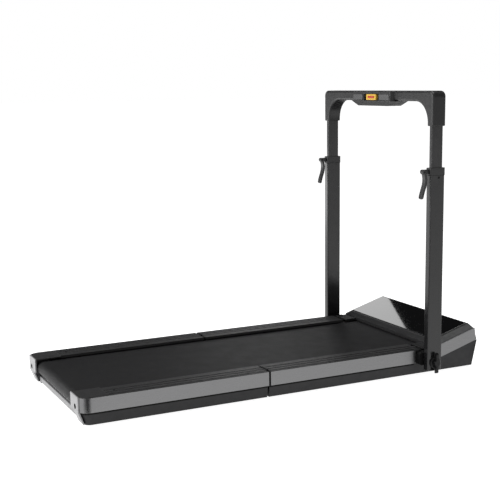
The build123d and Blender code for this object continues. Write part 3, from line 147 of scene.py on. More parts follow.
class Graph:
    """Node tree of one material, with the few nodes that the finishes share."""

    def __init__(self, name: str, placing: Placing = Placing.PIECE) -> None:
        """Start a material on a Principled surface.

        Args:
            name: name of the material.
            placing: coordinates that place its detail.
        """
        self.material = bpy.data.materials.new(name)
        self.material.use_nodes = True
        self.tree = self.material.node_tree
        self.shader = self.tree.nodes["Principled BSDF"]
        self.place = self.add("ShaderNodeTexCoord").outputs[placing.value]

    def add(self, kind: str, **values: object) -> bpy.types.Node:
        """Add a node and set its inputs or link them.

        Args:
            kind: type name of the node.
            values: input values or output sockets by input name, with _ for a space.

        Returns:
            The new node.
        """
        node = self.tree.nodes.new(kind)
        for key, value in values.items():
            socket = node.inputs[key.replace("_", " ")]
            if isinstance(value, Socket):
                self.tree.links.new(value, socket)
            else:
                socket.default_value = value
        return node

    def feed(self, name: str, socket: Socket) -> None:
        """Link a socket into the surface."""
        self.tree.links.new(socket, self.shader.inputs[name])

    def fix(self, name: str, value: object) -> None:
        """Set a value that is the same all over the surface."""
        self.shader.inputs[name].default_value = value

    def stretched(self, stretch: Stretch) -> Socket:
        """Place of the detail, scaled along each axis."""
        return self.add("ShaderNodeMapping", Vector=self.place, Scale=stretch).outputs["Vector"]

    def noise(self, scale: float, detail: float = 3.0, stretch: Stretch = EVEN) -> Socket:
        """Noise in the piece's own space.

        Args:
            scale: spots in one metre.
            detail: octaves of the noise.
            stretch: scale of each axis, for streaks.

        Returns:
            The noise value, from 0 to 1.
        """
        place = self.stretched(stretch)
        return self.add("ShaderNodeTexNoise", Vector=place, Scale=scale, Detail=detail).outputs["Fac"]

    def cells(self, scale: float, stretch: Stretch = EVEN) -> Socket:
        """Distance to the nearest of scattered cell centres, for pebbled grain.

        Args:
            scale: cells in one metre.
            stretch: scale of each axis, for long cells.

        Returns:
            The distance, in cells.
        """
        place = self.stretched(stretch)
        return self.add("ShaderNodeTexVoronoi", Vector=place, Scale=scale).outputs["Distance"]

    def between(self, value: Socket, low: float, high: float) -> Socket:
        """Spread a noise value between two numbers.

        Args:
            value: value of a noise.
            low: result where the noise is low.
            high: result where it is high.

        Returns:
            The spread value.
        """
        node = self.add("ShaderNodeMapRange", Value=value, From_Min=NOISE_LOW, From_Max=NOISE_HIGH,
                        To_Min=low, To_Max=high)
        return node.outputs["Result"]

    def tint(self, value: Socket, colour: Colour, spread: float) -> Socket:
        """Colour that wanders a little to each side of a middle.

        Args:
            value: value of a noise.
            colour: the middle colour, linear.
            spread: share of the colour by which it wanders each way.

        Returns:
            The colour socket.
        """
        ramp = self.tree.nodes.new("ShaderNodeValToRGB")
        low, high = ramp.color_ramp.elements
        low.position = NOISE_LOW
        high.position = NOISE_HIGH
        low.color = (*(part * (1 - spread) for part in colour), 1.0)
        high.color = (*(min(part * (1 + spread), 1.0) for part in colour), 1.0)
        self.tree.links.new(value, ramp.inputs["Fac"])
        return ramp.outputs["Color"]

    def relief(self, height: Socket, depth: float, round_off: float = 0.0) -> None:
        """Give the surface a fine relief, and soften its sharp edges.

        Args:
            height: height of the relief, from 0 to 1.
            depth: depth of the relief in metres.
            round_off: radius in metres to which sharp edges look rounded.
        """
        bump = self.add("ShaderNodeBump", Height=height, Distance=depth)
        if round_off > 0:
            soft = self.add("ShaderNodeBevel", Radius=round_off)
            self.tree.links.new(soft.outputs["Normal"], bump.inputs["Normal"])
        self.feed("Normal", bump.outputs["Normal"])


@dataclass(frozen=True)
class Moulding:
    """Moulded plastic or rubber with a fine pebbled grain."""

    name: str
    colour: Colour
    roughness: float = 0.5
    spread: float = 0.12
    grain: float = 900.0
    depth: float = 0.00004
    edge: float = 0.0012
    specular: float = 0.5
    cloud: float = 14.0
    wear: float = 60.0
    wear_detail: float = 4.0
    wear_spread: float = 0.06

    def make(self) -> Material:
        """Build the material.

        Returns:
            The material.
        """
        graph = Graph(self.name)
        graph.feed("Base Color", graph.tint(graph.noise(self.cloud), self.colour, self.spread))
        worn = graph.noise(self.wear, self.wear_detail)
        graph.feed("Roughness", graph.between(worn, self.roughness - self.wear_spread,
                                              self.roughness + self.wear_spread))
        graph.relief(graph.cells(self.grain), self.depth, self.edge)
        graph.fix("Specular IOR Level", self.specular)
        return graph.material


@dataclass(frozen=True)
class Paint:
    """Painted or powder-coated metal with a slight orange peel."""

    name: str
    colour: Colour
    roughness: float = 0.4
    spread: float = 0.08
    peel: float = 420.0
    peel_detail: float = 2.0
    depth: float = 0.00005
    edge: float = 0.001
    specular: float = 0.5
    cloud: float = 9.0
    wear: float = 45.0
    wear_detail: float = 4.0
    wear_spread: float = 0.05

    def make(self) -> Material:
        """Build the material.

        Returns:
            The material.
        """
        graph = Graph(self.name)
        graph.feed("Base Color", graph.tint(graph.noise(self.cloud), self.colour, self.spread))
        worn = graph.noise(self.wear, self.wear_detail)
        graph.feed("Roughness", graph.between(worn, self.roughness - self.wear_spread,
                                              self.roughness + self.wear_spread))
        graph.relief(graph.noise(self.peel, self.peel_detail), self.depth, self.edge)
        graph.fix("Specular IOR Level", self.specular)
        return graph.material


@dataclass(frozen=True)
class Brushed:
    """Bare or lacquered metal, brushed along one axis."""

    name: str
    colour: Colour
    along: Stretch = (0.03, 1.0, 1.0)
    roughness: float = 0.32
    spread: float = 0.1
    depth: float = 0.00002
    edge: float = 0.0008
    metallic: float = 1.0
    streaks: float = 700.0
    smoother: float = 0.05
    rougher: float = 0.07

    def make(self) -> Material:
        """Build the material.

        Returns:
            The material.
        """
        graph = Graph(self.name)
        streaks = graph.noise(self.streaks, stretch=self.along)
        graph.feed("Base Color", graph.tint(streaks, self.colour, self.spread))
        graph.feed("Roughness", graph.between(streaks, self.roughness - self.smoother,
                                              self.roughness + self.rougher))
        graph.relief(streaks, self.depth, self.edge)
        graph.fix("Metallic", self.metallic)
        return graph.material


@dataclass(frozen=True)
class Gloss:
    """Mirror-smooth plastic with a faint haze of handling."""

    name: str
    colour: Colour
    roughness: float = 0.06
    haze: float = 0.05
    specular: float = 0.5
    coat: float = 0.0
    edge: float = 0.0008
    spread: float = 0.15
    cloud: float = 11.0
    smear: float = 25.0
    smear_detail: float = 5.0
    wave: float = 30.0
    wave_detail: float = 2.0
    depth: float = 0.00001

    def make(self) -> Material:
        """Build the material.

        Returns:
            The material.
        """
        graph = Graph(self.name)
        graph.feed("Base Color", graph.tint(graph.noise(self.cloud), self.colour, self.spread))
        smear = graph.noise(self.smear, self.smear_detail)
        graph.feed("Roughness", graph.between(smear, self.roughness, self.roughness + self.haze))
        graph.relief(graph.noise(self.wave, self.wave_detail), self.depth, self.edge)
        graph.fix("Specular IOR Level", self.specular)
        graph.fix("Coat Weight", self.coat)
        return graph.material


@dataclass(frozen=True)
class Belting:
    """Running belt: a fine pebbled face with a worn satin sheen."""

    name: str
    colour: Colour
    roughness: float = 0.55
    specular: float = 0.15
    spread: float = 0.03
    cloud: float = 7.0
    cloud_detail: float = 6.0
    cloud_along: Stretch = (0.35, 1.0, 1.0)
    wear: float = 16.0
    wear_detail: float = 4.0
    wear_spread: float = 0.03
    pebbles: float = 520.0
    pebbles_along: Stretch = (1.0, 0.6, 1.0)
    depth: float = 0.00015

    def make(self) -> Material:
        """Build the material.

        Returns:
            The material.
        """
        graph = Graph(self.name, Placing.LAID_OUT)
        cloud = graph.noise(self.cloud, self.cloud_detail, self.cloud_along)
        graph.feed("Base Color", graph.tint(cloud, self.colour, self.spread))
        worn = graph.noise(self.wear, self.wear_detail)
        graph.feed("Roughness", graph.between(worn, self.roughness - self.wear_spread,
                                              self.roughness + self.wear_spread))
        graph.relief(graph.cells(self.pebbles, self.pebbles_along), self.depth)
        graph.fix("Specular IOR Level", self.specular)
        return graph.material


@dataclass(frozen=True)
class Fibreboard:
    """Pressed deck board with a faint long grain."""

    name: str
    colour: Colour
    spread: float = 0.25
    grain: float = 90.0
    grain_detail: float = 6.0
    grain_along: Stretch = (0.08, 1.0, 1.0)
    pores: float = 200.0
    smoothest: float = 0.45
    roughest: float = 0.65
    depth: float = 0.0001

    def make(self) -> Material:
        """Build the material.

        Returns:
            The material.
        """
        graph = Graph(self.name)
        grain = graph.noise(self.grain, self.grain_detail, self.grain_along)
        graph.feed("Base Color", graph.tint(grain, self.colour, self.spread))
        graph.feed("Roughness", graph.between(graph.noise(self.pores), self.smoothest, self.roughest))
        graph.relief(grain, self.depth)
        return graph.material


@dataclass(frozen=True)
class Matt:
    """Plain matt surface of the studio, which may glow."""

    name: str
    colour: Colour
    spread: float
    cloud: float
    roughness: float
    glow: float = 0.0

    def make(self) -> Material:
        """Build the material.

        Returns:
            The material.
        """
        graph = Graph(self.name)
        graph.feed("Base Color", graph.tint(graph.noise(self.cloud), self.colour, self.spread))
        graph.fix("Roughness", self.roughness)
        graph.fix("Specular IOR Level", 0.0)
        graph.fix("Emission Color", WHITE)
        graph.fix("Emission Strength", self.glow)
        return graph.material


Finish = Moulding | Paint | Brushed | Gloss | Belting | Fibreboard


class Palette:
    """The finishes of the machine, each made once."""

    FINISHES: dict[str, Finish] = {
        "frame_black": Paint("frame_paint", (0.010, 0.010, 0.011)),
        "casing_black": Moulding("casing_moulding", (0.011, 0.011, 0.012), edge=0.004, specular=0.33),
        "board_wood": Fibreboard("deck_board", (0.010, 0.009, 0.008)),
        "rubber_black": Moulding("rubber", (0.008, 0.008, 0.008), roughness=0.75, specular=0.3),
        # Near-black strips under the side trims: painted shadow of the trims' ledges, not a real seal
        "trim_shadow_black": Moulding("seal_rubber", (0.004, 0.004, 0.004), roughness=0.7, edge=0.0, specular=0.1),
        "rail_black": Moulding("rail_moulding", (0.014, 0.014, 0.0145), grain=1400.0),
        "trim_grey": Brushed("satin_trim", (0.17, 0.17, 0.172), roughness=0.3, spread=0.03, depth=0.000004),
        "cap_light": Paint("pale_paint", (0.225, 0.225, 0.229), roughness=0.42, spread=0.03),
        # Same pale paint as the end caps, made darker: painted shade on the crossbar
        "bar_shaded_copy": Paint("bar_paint", (0.18, 0.18, 0.183), roughness=0.42, spread=0.03),
        "belt_black": Belting("belting", (0.012, 0.012, 0.0125)),
        "steel": Brushed("bright_steel", (0.55, 0.55, 0.56), along=(1.0, 0.03, 1.0)),
        "black_steel": Brushed("blackened_steel", (0.02, 0.02, 0.021), along=EVEN, roughness=0.45),
        "hood_black": Moulding("hood_moulding", (0.008, 0.008, 0.0085), roughness=0.42, edge=0.002,
                               specular=0.4),
        "panel_gloss": Gloss("gloss_panel", (0.0015, 0.0015, 0.0018), roughness=0.045, haze=0.01,
                             specular=0.6, coat=1.0, edge=0.0),
        "lamp_board": Moulding("circuit_board", (0.02, 0.06, 0.03)),
        "motor_grey": Paint("motor_paint", (0.09, 0.09, 0.095), roughness=0.5),
        "cradle_grey": Paint("cradle_paint", (0.2, 0.2, 0.2), roughness=0.5),
        "heat_sink": Brushed("plain_aluminium", (0.6, 0.6, 0.61)),
        "inlet_black": Gloss("inlet_plastic", (0.010, 0.010, 0.011), roughness=0.25),
        "rocker_red": Gloss("rocker_plastic", (0.42, 0.02, 0.015), roughness=0.2),
        "wheel_black": Moulding("wheel_plastic", (0.012, 0.012, 0.0125), roughness=0.45),
        "post_black": Paint("post_paint", (0.006, 0.006, 0.0064), roughness=0.2, depth=0.000008, edge=0.002,
                            specular=0.46),
        # Black bracket paint, made darker than the frame paint: partly its own black, partly painted shade
        # of the post
        "bracket_black_painted_shade": Paint("bracket_paint", (0.003, 0.003, 0.0033), roughness=0.6, specular=0.1),
        "shoe_black": Moulding("shoe_plastic", (0.010, 0.010, 0.010)),
        "collar_black": Moulding("collar_plastic", (0.010, 0.010, 0.0105), roughness=0.42, depth=0.00002),
        "knob_black": Moulding("knob_plastic", (0.004, 0.004, 0.0043), roughness=0.35, specular=0.2),
        "stem_dark": Paint("stem_paint", (0.009, 0.009, 0.0095), roughness=0.18, depth=0.000005,
                           specular=0.46),
        "handle_grey": Moulding("handle_plastic", (0.009, 0.009, 0.0095), roughness=0.38, depth=0.000015,
                                edge=0.003, specular=0.4),
        "button_grey": Moulding("button_plastic", (0.042, 0.042, 0.043)),
        "key_yellow": Moulding("key_plastic", (0.52, 0.31, 0.035), roughness=0.45, spread=0.04,
                               specular=0.3),
        "key_red": Moulding("key_bar_plastic", (0.36, 0.03, 0.02), roughness=0.45, spread=0.06,
                            specular=0.3),
    }

    def __init__(self, frame: dict) -> None:
        """Keep the frame's nodes, and start with no material made."""
        self.nodes = frame["nodes"]
        self.made: dict[str, Material] = {}

    def material(self, slot: str) -> Material:
        """Material of a slot, made on first use.

        Args:
            slot: name of the finish.

        Returns:
            The material.
        """
        if slot not in self.made:
            self.made[slot] = self.FINISHES[slot].make()
        return self.made[slot]

    def dress(self, slot: str, *nodes: str) -> None:
        """Give CAD nodes the finish of a slot.

        Args:
            slot: name of the finish.
            nodes: names of the CAD nodes.
        """
        for name in nodes:
            mesh = self.nodes[name].data
            mesh.materials.clear()
            mesh.materials.append(self.material(slot))
            LOG.info("dressed %s in %s", name, slot)

    def finish(self, piece: Piece, slot: str) -> None:
        """Give a piece the finish of a slot."""
        piece.data.materials.append(self.material(slot))


def new_mesh(name: str, bm: Mesh) -> Piece:
    """Make an object of a finished bmesh.

    Args:
        name: name of the object.
        bm: the mesh, which is freed.

    Returns:
        The object, linked to the scene.
    """
    mesh = bpy.data.meshes.new(name)
    bm.to_mesh(mesh)
    bm.free()
    mesh.shade_smooth()
    mesh.set_sharp_from_angle(angle=math.radians(SMOOTH_ANGLE))
    piece = bpy.data.objects.new(name, mesh)
    bpy.context.scene.collection.objects.link(piece)
    return piece


def circle(bm: Mesh, radius: float, height: float, segments: int = 32) -> list[Vert]:
    """Loop of vertices round Z at a height."""
    turns = [2 * math.pi * index / segments for index in range(segments)]
    return [bm.verts.new((radius * math.cos(turn), radius * math.sin(turn), height)) for turn in turns]


def lathe(bm: Mesh, profile: list[Spot], segments: int) -> None:
    """Turn a profile about Z.

    Args:
        bm: mesh that the turned form is added to.
        profile: (radius, height) points from the foot to the middle of the top.
        segments: number of flats round the form.
    """
    rings = []
    for radius, height in profile:
        if radius > 0:
            rings.append(circle(bm, radius, height, segments))
        else:
            rings.append([bm.verts.new((0.0, 0.0, height))])
    for lower, upper in zip(rings, rings[1:]):
        for index in range(segments):
            after = (index + 1) % segments
            corners = [lower[index], lower[after]]
            corners += [upper[0]] if len(upper) == 1 else [upper[after], upper[index]]
            bm.faces.new(corners)


def skin(bm: Mesh, loops: list[list[Vert]]) -> None:
    """Join closed loops of equal length, one after the other.

    Args:
        bm: mesh that the faces are added to.
        loops: the loops, in order.
    """
    for lower, upper in zip(loops, loops[1:]):
        for index, corner in enumerate(lower):
            after = (index + 1) % len(lower)
            bm.faces.new((corner, lower[after], upper[after], upper[index]))


def rounded(half_x: float, half_y: float, radius: float, steps: int = 6) -> list[Spot]:
    """Outline of a rectangle with rounded corners.

    Args:
        half_x: half of its length.
        half_y: half of its width.
        radius: radius of its corners.
        steps: flats in each corner.

    Returns:
        The points, anticlockwise.
    """
    points = []
    for quarter, (sign_x, sign_y) in enumerate(((1, 1), (-1, 1), (-1, -1), (1, -1))):
        for step in range(steps + 1):
            turn = math.pi / 2 * (quarter + step / steps)
            points.append((sign_x * (half_x - radius) + radius * math.cos(turn),
                           sign_y * (half_y - radius) + radius * math.sin(turn)))
    return points


@dataclass
class Screw:
    """A small domed screw with a round socket, sunk a little into its face."""

    radius: float = 0.0042
    rise: float = 0.0011
    sink: float = 0.0006
    socket: float = 0.0019
    socket_depth: float = 0.0008
    flats: int = 24

    # Shares of the radius, of the rise and of the socket
    shoulder: float = 0.88
    wall_top: float = 0.35
    shoulder_top: float = 0.8
    socket_rim: float = 1.3

    def build(self, name: str, place: Point, facing: Facing, palette: Palette, body: str) -> None:
        """Build the screw on a face.

        Args:
            name: name of the piece.
            place: point on the face.
            facing: direction that the head faces.
            palette: finishes.
            body: CAD body that it rides on.
        """
        bm = bmesh.new()
        socket_floor = self.rise - self.socket_depth
        profile = [(self.radius, -self.sink), (self.radius, self.rise * self.wall_top),
                   (self.radius * self.shoulder, self.rise * self.shoulder_top),
                   (self.socket * self.socket_rim, self.rise), (self.socket, self.rise),
                   (self.socket, socket_floor), (0.0, socket_floor)]
        lathe(bm, profile, self.flats)
        bm.transform(Matrix.Translation(place) @ facing.turn)
        piece = new_mesh(name, bm)
        palette.finish(piece, "black_steel")
        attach(piece, body)
        LOG.info("built %s", piece.name)


@dataclass
class RunningBelt:
    """The endless belt round both rollers, with close sections about the fold line."""

    thickness: float = 0.002
    fold_half: float = 0.004
    fold_steps: int = 24
    wrap_steps: int = 20

    def outline(self, run: Run) -> list[tuple[float, float, float, float]]:
        """Middle line of a run.

        Args:
            run: the upper run with both wraps, or the lower run.

        Returns:
            Points as (x, z, normal x, normal z), from the rear to the front.
        """
        rear_low, rear_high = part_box("rear_belt")
        front_low, front_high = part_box("front_belt")
        radius = (front_high.z - front_low.z) / 2 - self.thickness / 2
        level = (front_high.z + front_low.z) / 2
        rear_x = rear_low.x + radius + self.thickness / 2
        front_x = front_high.x - radius - self.thickness / 2
        fold_x = (rear_high.x + front_low.x) / 2
        stations = [rear_x, fold_x - self.fold_half]
        for step in range(1, self.fold_steps):
            stations.append(fold_x - self.fold_half + 2 * self.fold_half * step / self.fold_steps)
        stations += [fold_x + self.fold_half, front_x]
        sign = 1.0 if run is Run.UPPER else -1.0
        line = [(x, level + sign * radius, 0.0, sign) for x in stations]
        if run is Run.LOWER:
            return line
        for step in range(1, self.wrap_steps + 1):
            turn = math.pi / 2 + math.pi / self.wrap_steps * step
            out = math.cos(turn)
            up = math.sin(turn)
            line.insert(0, (rear_x + radius * out, level + radius * up, out, up))
            line.append((front_x - radius * out, level + radius * up, -out, up))
        return line

    def build(self, run: Run) -> Piece:
        """Build one run as a closed strip, with its grain laid out in metres.

        Args:
            run: the run to build.

        Returns:
            The strip.
        """
        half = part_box("front_belt")[1].y
        line = self.outline(run)
        bm = bmesh.new()
        grain = bm.loops.layers.uv.new("grain")
        sections = []
        along = 0.0
        for index, (x, z, normal_x, normal_z) in enumerate(line):
            if index:
                along += math.dist((x, z), line[index - 1][:2])
            corners = []
            for sign, y in ((1, -half), (1, half), (-1, half), (-1, -half)):
                rise = sign * self.thickness / 2
                corners.append(bm.verts.new((x + normal_x * rise, y, z + normal_z * rise)))
            sections.append((along, corners))
        for (start, first), (end, second) in zip(sections, sections[1:]):
            for index, corner in enumerate(first):
                after = (index + 1) % len(first)
                face = bm.faces.new((corner, second[index], second[after], first[after]))
                for loop, u in zip(face.loops, (start, end, end, start)):
                    loop[grain].uv = (u, loop.vert.co.y)
        for _, corners in (sections[0], sections[-1]):
            bm.faces.new(corners)
        bmesh.ops.recalc_face_normals(bm, faces=bm.faces)
        return new_mesh(run.value, bm)

    def dress(self, palette: Palette) -> None:
        """Build and finish both runs, and let them stand for the CAD belts.

        Args:
            palette: finishes.
        """
        for run in Run:
            piece = self.build(run)
            palette.finish(piece, "belt_black")
            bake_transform(piece)
            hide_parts("rear_belt", "front_belt")
            LOG.info("built %s", piece.name)


@dataclass
class SideSeal:
    """A thin dark strip along the top edge of a casing, under the side trim: painted shadow of the trim's
    ledge.
    """

    foot: float = 0.0422
    top: float = 0.0507
    rise: float = 0.0006
    sink: float = 0.0005
    chamfer: float = 0.0003
    end_gap: float = 0.0006

    # The casing's walls: lean for each metre of height, and rear corner in plan at the top
    side_lean: float = 0.135
    rear_lean: float = 0.34
    corner: float = 0.0279
    corner_turn: float = 48.0
    corner_steps: int = 8

    def ring(self, bm: Mesh, side: Side, turn: float, x: float | None = None) -> list[Vert]:
        """Section of the painted shadow strip on the leaning face of the casing.

        Args:
            bm: mesh that the section is added to.
            side: the side of the machine.
            turn: how far the face has turned from sideways to rearwards, in radians.
            x: place along the deck, where the face runs straight.

        Returns:
            The section's corners.
        """
        low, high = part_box("rear_casing")
        profile = [(-self.sink, self.foot), (self.rise - self.chamfer, self.foot),
                   (self.rise, self.foot + self.chamfer), (self.rise, self.top), (-self.sink, self.top)]
        corners = []
        for offset, z in profile:
            drop = high.z - z
            radius = self.corner - self.side_lean * drop
            middle_x = low.x + self.rear_lean * drop + radius
            middle_y = high.y - self.side_lean * drop - radius
            along = middle_x - (radius + offset) * math.sin(turn) if x is None else x
            across = middle_y + (radius + offset) * math.cos(turn)
            corners.append(bm.verts.new((along, side.value * across, z)))
        return corners

    def build(self, half: Half, side: Side, palette: Palette, body: str) -> None:
        """Build the painted shadow strip of one casing on one side.

        Args:
            half: half of the deck.
            side: the side of the machine.
            palette: finishes.
            body: CAD body that it rides on.
        """
        low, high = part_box(f"{half.value}_trims")
        bm = bmesh.new()
        sections = [self.ring(bm, side, 0.0, high.x - self.end_gap)]
        if half is Half.FRONT:
            sections.append(self.ring(bm, side, 0.0, low.x + self.end_gap))
        else:
            step = math.radians(self.corner_turn) / self.corner_steps
            sections += [self.ring(bm, side, step * index) for index in range(self.corner_steps + 1)]
        skin(bm, sections)
        bm.faces.new(sections[0])
        bm.faces.new(sections[-1])
        bmesh.ops.recalc_face_normals(bm, faces=bm.faces)
        piece = new_mesh(f"{half.value}_side_seal_{side.label}", bm)
        palette.finish(piece, "trim_shadow_black")
        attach(piece, body)
        LOG.info("built %s", piece.name)


@dataclass
class Deck:
    """Both deck halves: frames, casings, boards, foot rails, side trims, feet and fold hinges."""

    rail_screw_x: float = -0.643
    rail_screw_y: float = 0.2715
    casing_screw_y: float = 0.281
    rear_screws_x: tuple[float, ...] = (-0.642, -0.403, -0.164)
    front_screws_x: tuple[float, ...] = (-0.044, 0.226, 0.496)

    def build(self, palette: Palette) -> None:
        """Add the screws of the foot rails and casings, and the dark strips of painted shadow under the
        side trims.

        Args:
            palette: finishes.
        """
        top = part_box("rear_foot_rails")[1].z
        for side in Side:
            place = (self.rail_screw_x, side.value * self.rail_screw_y, top)
            Screw().build(f"rail_screw_{side.label}", place, Facing.UP, palette, "rear_deck")
        self.casing_screws(Half.REAR, self.rear_screws_x, palette, "rear_deck")
        self.casing_screws(Half.FRONT, self.front_screws_x, palette, "base")
        for side in Side:
            SideSeal().build(Half.REAR, side, palette, "rear_deck")
            SideSeal().build(Half.FRONT, side, palette, "base")

    def casing_screws(self, half: Half, places: tuple[float, ...], palette: Palette, body: str) -> None:
        """Add the screws under one casing.

        Args:
            half: half of the deck.
            places: where along the deck they stand.
            palette: finishes.
            body: CAD body that they ride on.
        """
        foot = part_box(f"{half.value}_casing")[0].z
        for index, x in enumerate(places):
            for side in Side:
                name = f"{half.value}_casing_screw_{index}_{side.label}"
                place = (x, side.value * self.casing_screw_y, foot)
                Screw().build(name, place, Facing.DOWN, palette, body)

    def dress(self, palette: Palette) -> None:
        """Finish the CAD nodes of the deck.

        Args:
            palette: finishes.
        """
        palette.dress("frame_black", "front_frame", "rear_frame")
        palette.dress("casing_black", "front_casing", "rear_casing")
        palette.dress("board_wood", "front_deck_board", "rear_deck_board")
        palette.dress("rubber_black", "front_cushions", "rear_cushions", "front_feet", "rear_feet")
        palette.dress("rail_black", "front_foot_rails", "rear_foot_rails", "rear_rail_ends")
        palette.dress("trim_grey", "front_trims", "rear_trims", "hood_trims")
        palette.dress("black_steel", "hinge_front_leaves", "hinge_rear_leaves", "hinge_pins")
        palette.dress("steel", "front_axle", "rear_axle", "front_roller", "rear_roller")
        palette.dress("steel", "front_bearings", "rear_bearings")


@dataclass
class RearEnd:
    """Pale end caps with black bushes, crossbar and tension bolts."""

    bush_y: float = 0.268
    bush_z: float = 0.065
    hole_radius: float = 0.008
    cap_thickness: float = 0.004
    bush_wall: float = 0.0007
    rim: float = 0.0007
    rim_rise: float = 0.0004

    def build(self, palette: Palette) -> None:
        """Add a black bush in the hole over each tension bolt.

        Args:
            palette: finishes.
        """
        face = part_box("rear_end_caps")[0].x
        bore = self.hole_radius - self.bush_wall
        lip = self.hole_radius + self.rim
        profile = [(bore, -self.cap_thickness), (bore, self.rim_rise), (lip, self.rim_rise), (lip, 0.0),
                   (self.hole_radius, 0.0), (self.hole_radius, -self.cap_thickness)]
        for side in Side:
            bm = bmesh.new()
            loops = [circle(bm, radius, height) for radius, height in profile]
            skin(bm, loops + loops[:1])
            place = (face, side.value * self.bush_y, self.bush_z)
            bm.transform(Matrix.Translation(place) @ Facing.REAR.turn)
            bmesh.ops.recalc_face_normals(bm, faces=bm.faces)
            piece = new_mesh(f"cap_bush_{side.label}", bm)
            palette.finish(piece, "rubber_black")
            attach(piece, "rear_deck")
            LOG.info("built %s", piece.name)

    def dress(self, palette: Palette) -> None:
        """Finish the CAD nodes of the rear end.

        Args:
            palette: finishes.
        """
        palette.dress("cap_light", "rear_end_caps")
        palette.dress("bar_shaded_copy", "rear_crossbar")
        palette.dress("black_steel", "tension_bolts")


@dataclass
class MotorBay:
    """Hood with its gloss panel, and the drive, inlet, switch and wheels under it."""

    def dress(self, palette: Palette) -> None:
        """Finish the CAD nodes of the motor bay.

        Args:
            palette: finishes.
        """
        palette.dress("hood_black", "hood_cover")
        palette.dress("panel_gloss", "display_panel")
        palette.dress("lamp_board", "display_module")
        palette.dress("motor_grey", "motor")
        palette.dress("steel", "motor_rotor", "wheel_axles")
        palette.dress("cradle_grey", "motor_cradle")
        palette.dress("rubber_black", "drive_belt")
        palette.dress("heat_sink", "control_box")
        palette.dress("inlet_black", "power_inlet", "switch_housing")
        palette.dress("rocker_red", "switch_rocker")
        palette.dress("wheel_black", "wheel_left", "wheel_right")


@dataclass
class Uprights:
    """Posts with their brackets, shoes, knobs, collars, levers and telescopic stems."""

    screw_x: float = 0.546
    screw_z: float = 0.731
    post_width: float = 0.0275
    post_corner: float = 0.005
    collar_foot: float = 0.740
    seal_height: float = 0.0014
    seal_rise: float = 0.0006
    seal_sink: float = 0.0004

    def build(self, palette: Palette) -> None:
        """Add the seals and screws below the collars.

        Args:
            palette: finishes.
        """
        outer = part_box("posts")[1].y
        for side, facing in ((Side.LEFT, Facing.LEFT), (Side.RIGHT, Facing.RIGHT)):
            place = (self.screw_x, side.value * outer, self.screw_z)
            Screw().build(f"post_screw_{side.label}", place, facing, palette, "posts")
            self.seal(side, palette)

    def seal(self, side: Side, palette: Palette) -> None:
        """Add the thin rubber seal under one collar.

        Args:
            side: the side of the machine.
            palette: finishes.
        """
        low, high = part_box("posts")
        middle_x = (low.x + high.x) / 2
        middle_y = side.value * (high.y - self.post_width / 2)
        half_x = (high.x - low.x) / 2
        half_y = self.post_width / 2
        foot = self.collar_foot - self.seal_height
        bm = bmesh.new()
        loops = []
        for z, rise in ((foot, -self.seal_sink), (foot, self.seal_rise),
                        (self.collar_foot, self.seal_rise), (self.collar_foot, -self.seal_sink)):
            outline = rounded(half_x + rise, half_y + rise, self.post_corner + rise)
            loops.append([bm.verts.new((middle_x + x, middle_y + y, z)) for x, y in outline])
        skin(bm, loops + loops[:1])
        bmesh.ops.recalc_face_normals(bm, faces=bm.faces)
        piece = new_mesh(f"collar_seal_{side.label}", bm)
        palette.finish(piece, "rubber_black")
        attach(piece, "posts")
        LOG.info("built %s", piece.name)

    def dress(self, palette: Palette) -> None:
        """Finish the CAD nodes of the uprights.

        Args:
            palette: finishes.
        """
        palette.dress("post_black", "posts")
        palette.dress("bracket_black_painted_shade", "post_brackets")
        palette.dress("steel", "pivot_bolts")
        palette.dress("black_steel", "lever_pins")
        palette.dress("shoe_black", "post_shoes")
        palette.dress("collar_black", "clamp_collars", "clamp_lever_left", "clamp_lever_right")
        palette.dress("knob_black", "lock_knob_left", "lock_knob_right")
        palette.dress("stem_dark", "stems")


@dataclass
class Handle:
    """Handlebar with its console, buttons and safety key."""

    bar_half_length: float = 0.0215
    bar_half_height: float = 0.0037
    bar_rise: float = 0.0012
    bar_sink: float = 0.0006
    round_steps: int = 10

    # Levels of the bar's rounded edge: share of the rise, and how far its outline is drawn in
    bar_edge: tuple[Spot, ...] = ((0.5, 0.0), (0.85, 0.0004), (1.0, 0.0011))

    def build(self, palette: Palette) -> None:
        """Add the red bar in the key's recess.

        Args:
            palette: finishes.
        """
        low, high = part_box("safety_key")
        middle = (low + high) / 2
        levels = [(low.x + self.bar_sink, 0.0)]
        levels += [(low.x - self.bar_rise * share, inset) for share, inset in self.bar_edge]
        bm = bmesh.new()
        loops = []
        for x, inset in levels:
            radius = self.bar_half_height - inset
            ring = []
            for end, first_turn in ((1, -math.pi / 2), (-1, math.pi / 2)):
                for step in range(self.round_steps + 1):
                    turn = first_turn + math.pi * step / self.round_steps
                    y = end * (self.bar_half_length - self.bar_half_height) + radius * math.cos(turn)
                    ring.append(bm.verts.new((x, middle.y + y, middle.z + radius * math.sin(turn))))
            loops.append(ring)
        skin(bm, loops)
        bm.faces.new(loops[0])
        bm.faces.new(loops[-1])
        bmesh.ops.recalc_face_normals(bm, faces=bm.faces)
        piece = new_mesh("key_bar", bm)
        palette.finish(piece, "key_red")
        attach(piece, "safety_key")
        LOG.info("built %s", piece.name)

    def dress(self, palette: Palette) -> None:
        """Finish the CAD nodes of the handle.

        Args:
            palette: finishes.
        """
        palette.dress("handle_grey", "handlebar", "console")
        palette.dress("button_grey", "button_left", "button_right")
        palette.dress("key_yellow", "safety_key")


@dataclass(frozen=True)
class SoftBox:
    """One soft light of the studio, with its power in watts."""

    name: str
    place: Point
    target: Point
    size: Spot
    power: float

    def build(self) -> None:
        """Make the light, facing its target."""
        data = bpy.data.lights.new(self.name, "AREA")
        data.shape = "RECTANGLE"
        data.size, data.size_y = self.size
        data.energy = self.power
        light = bpy.data.objects.new(self.name, data)
        light.location = self.place
        way = Vector(self.target) - Vector(self.place)
        light.rotation_euler = way.to_track_quat("-Z", "Y").to_euler()
        light.visible_camera = False
        bpy.context.scene.collection.objects.link(light)


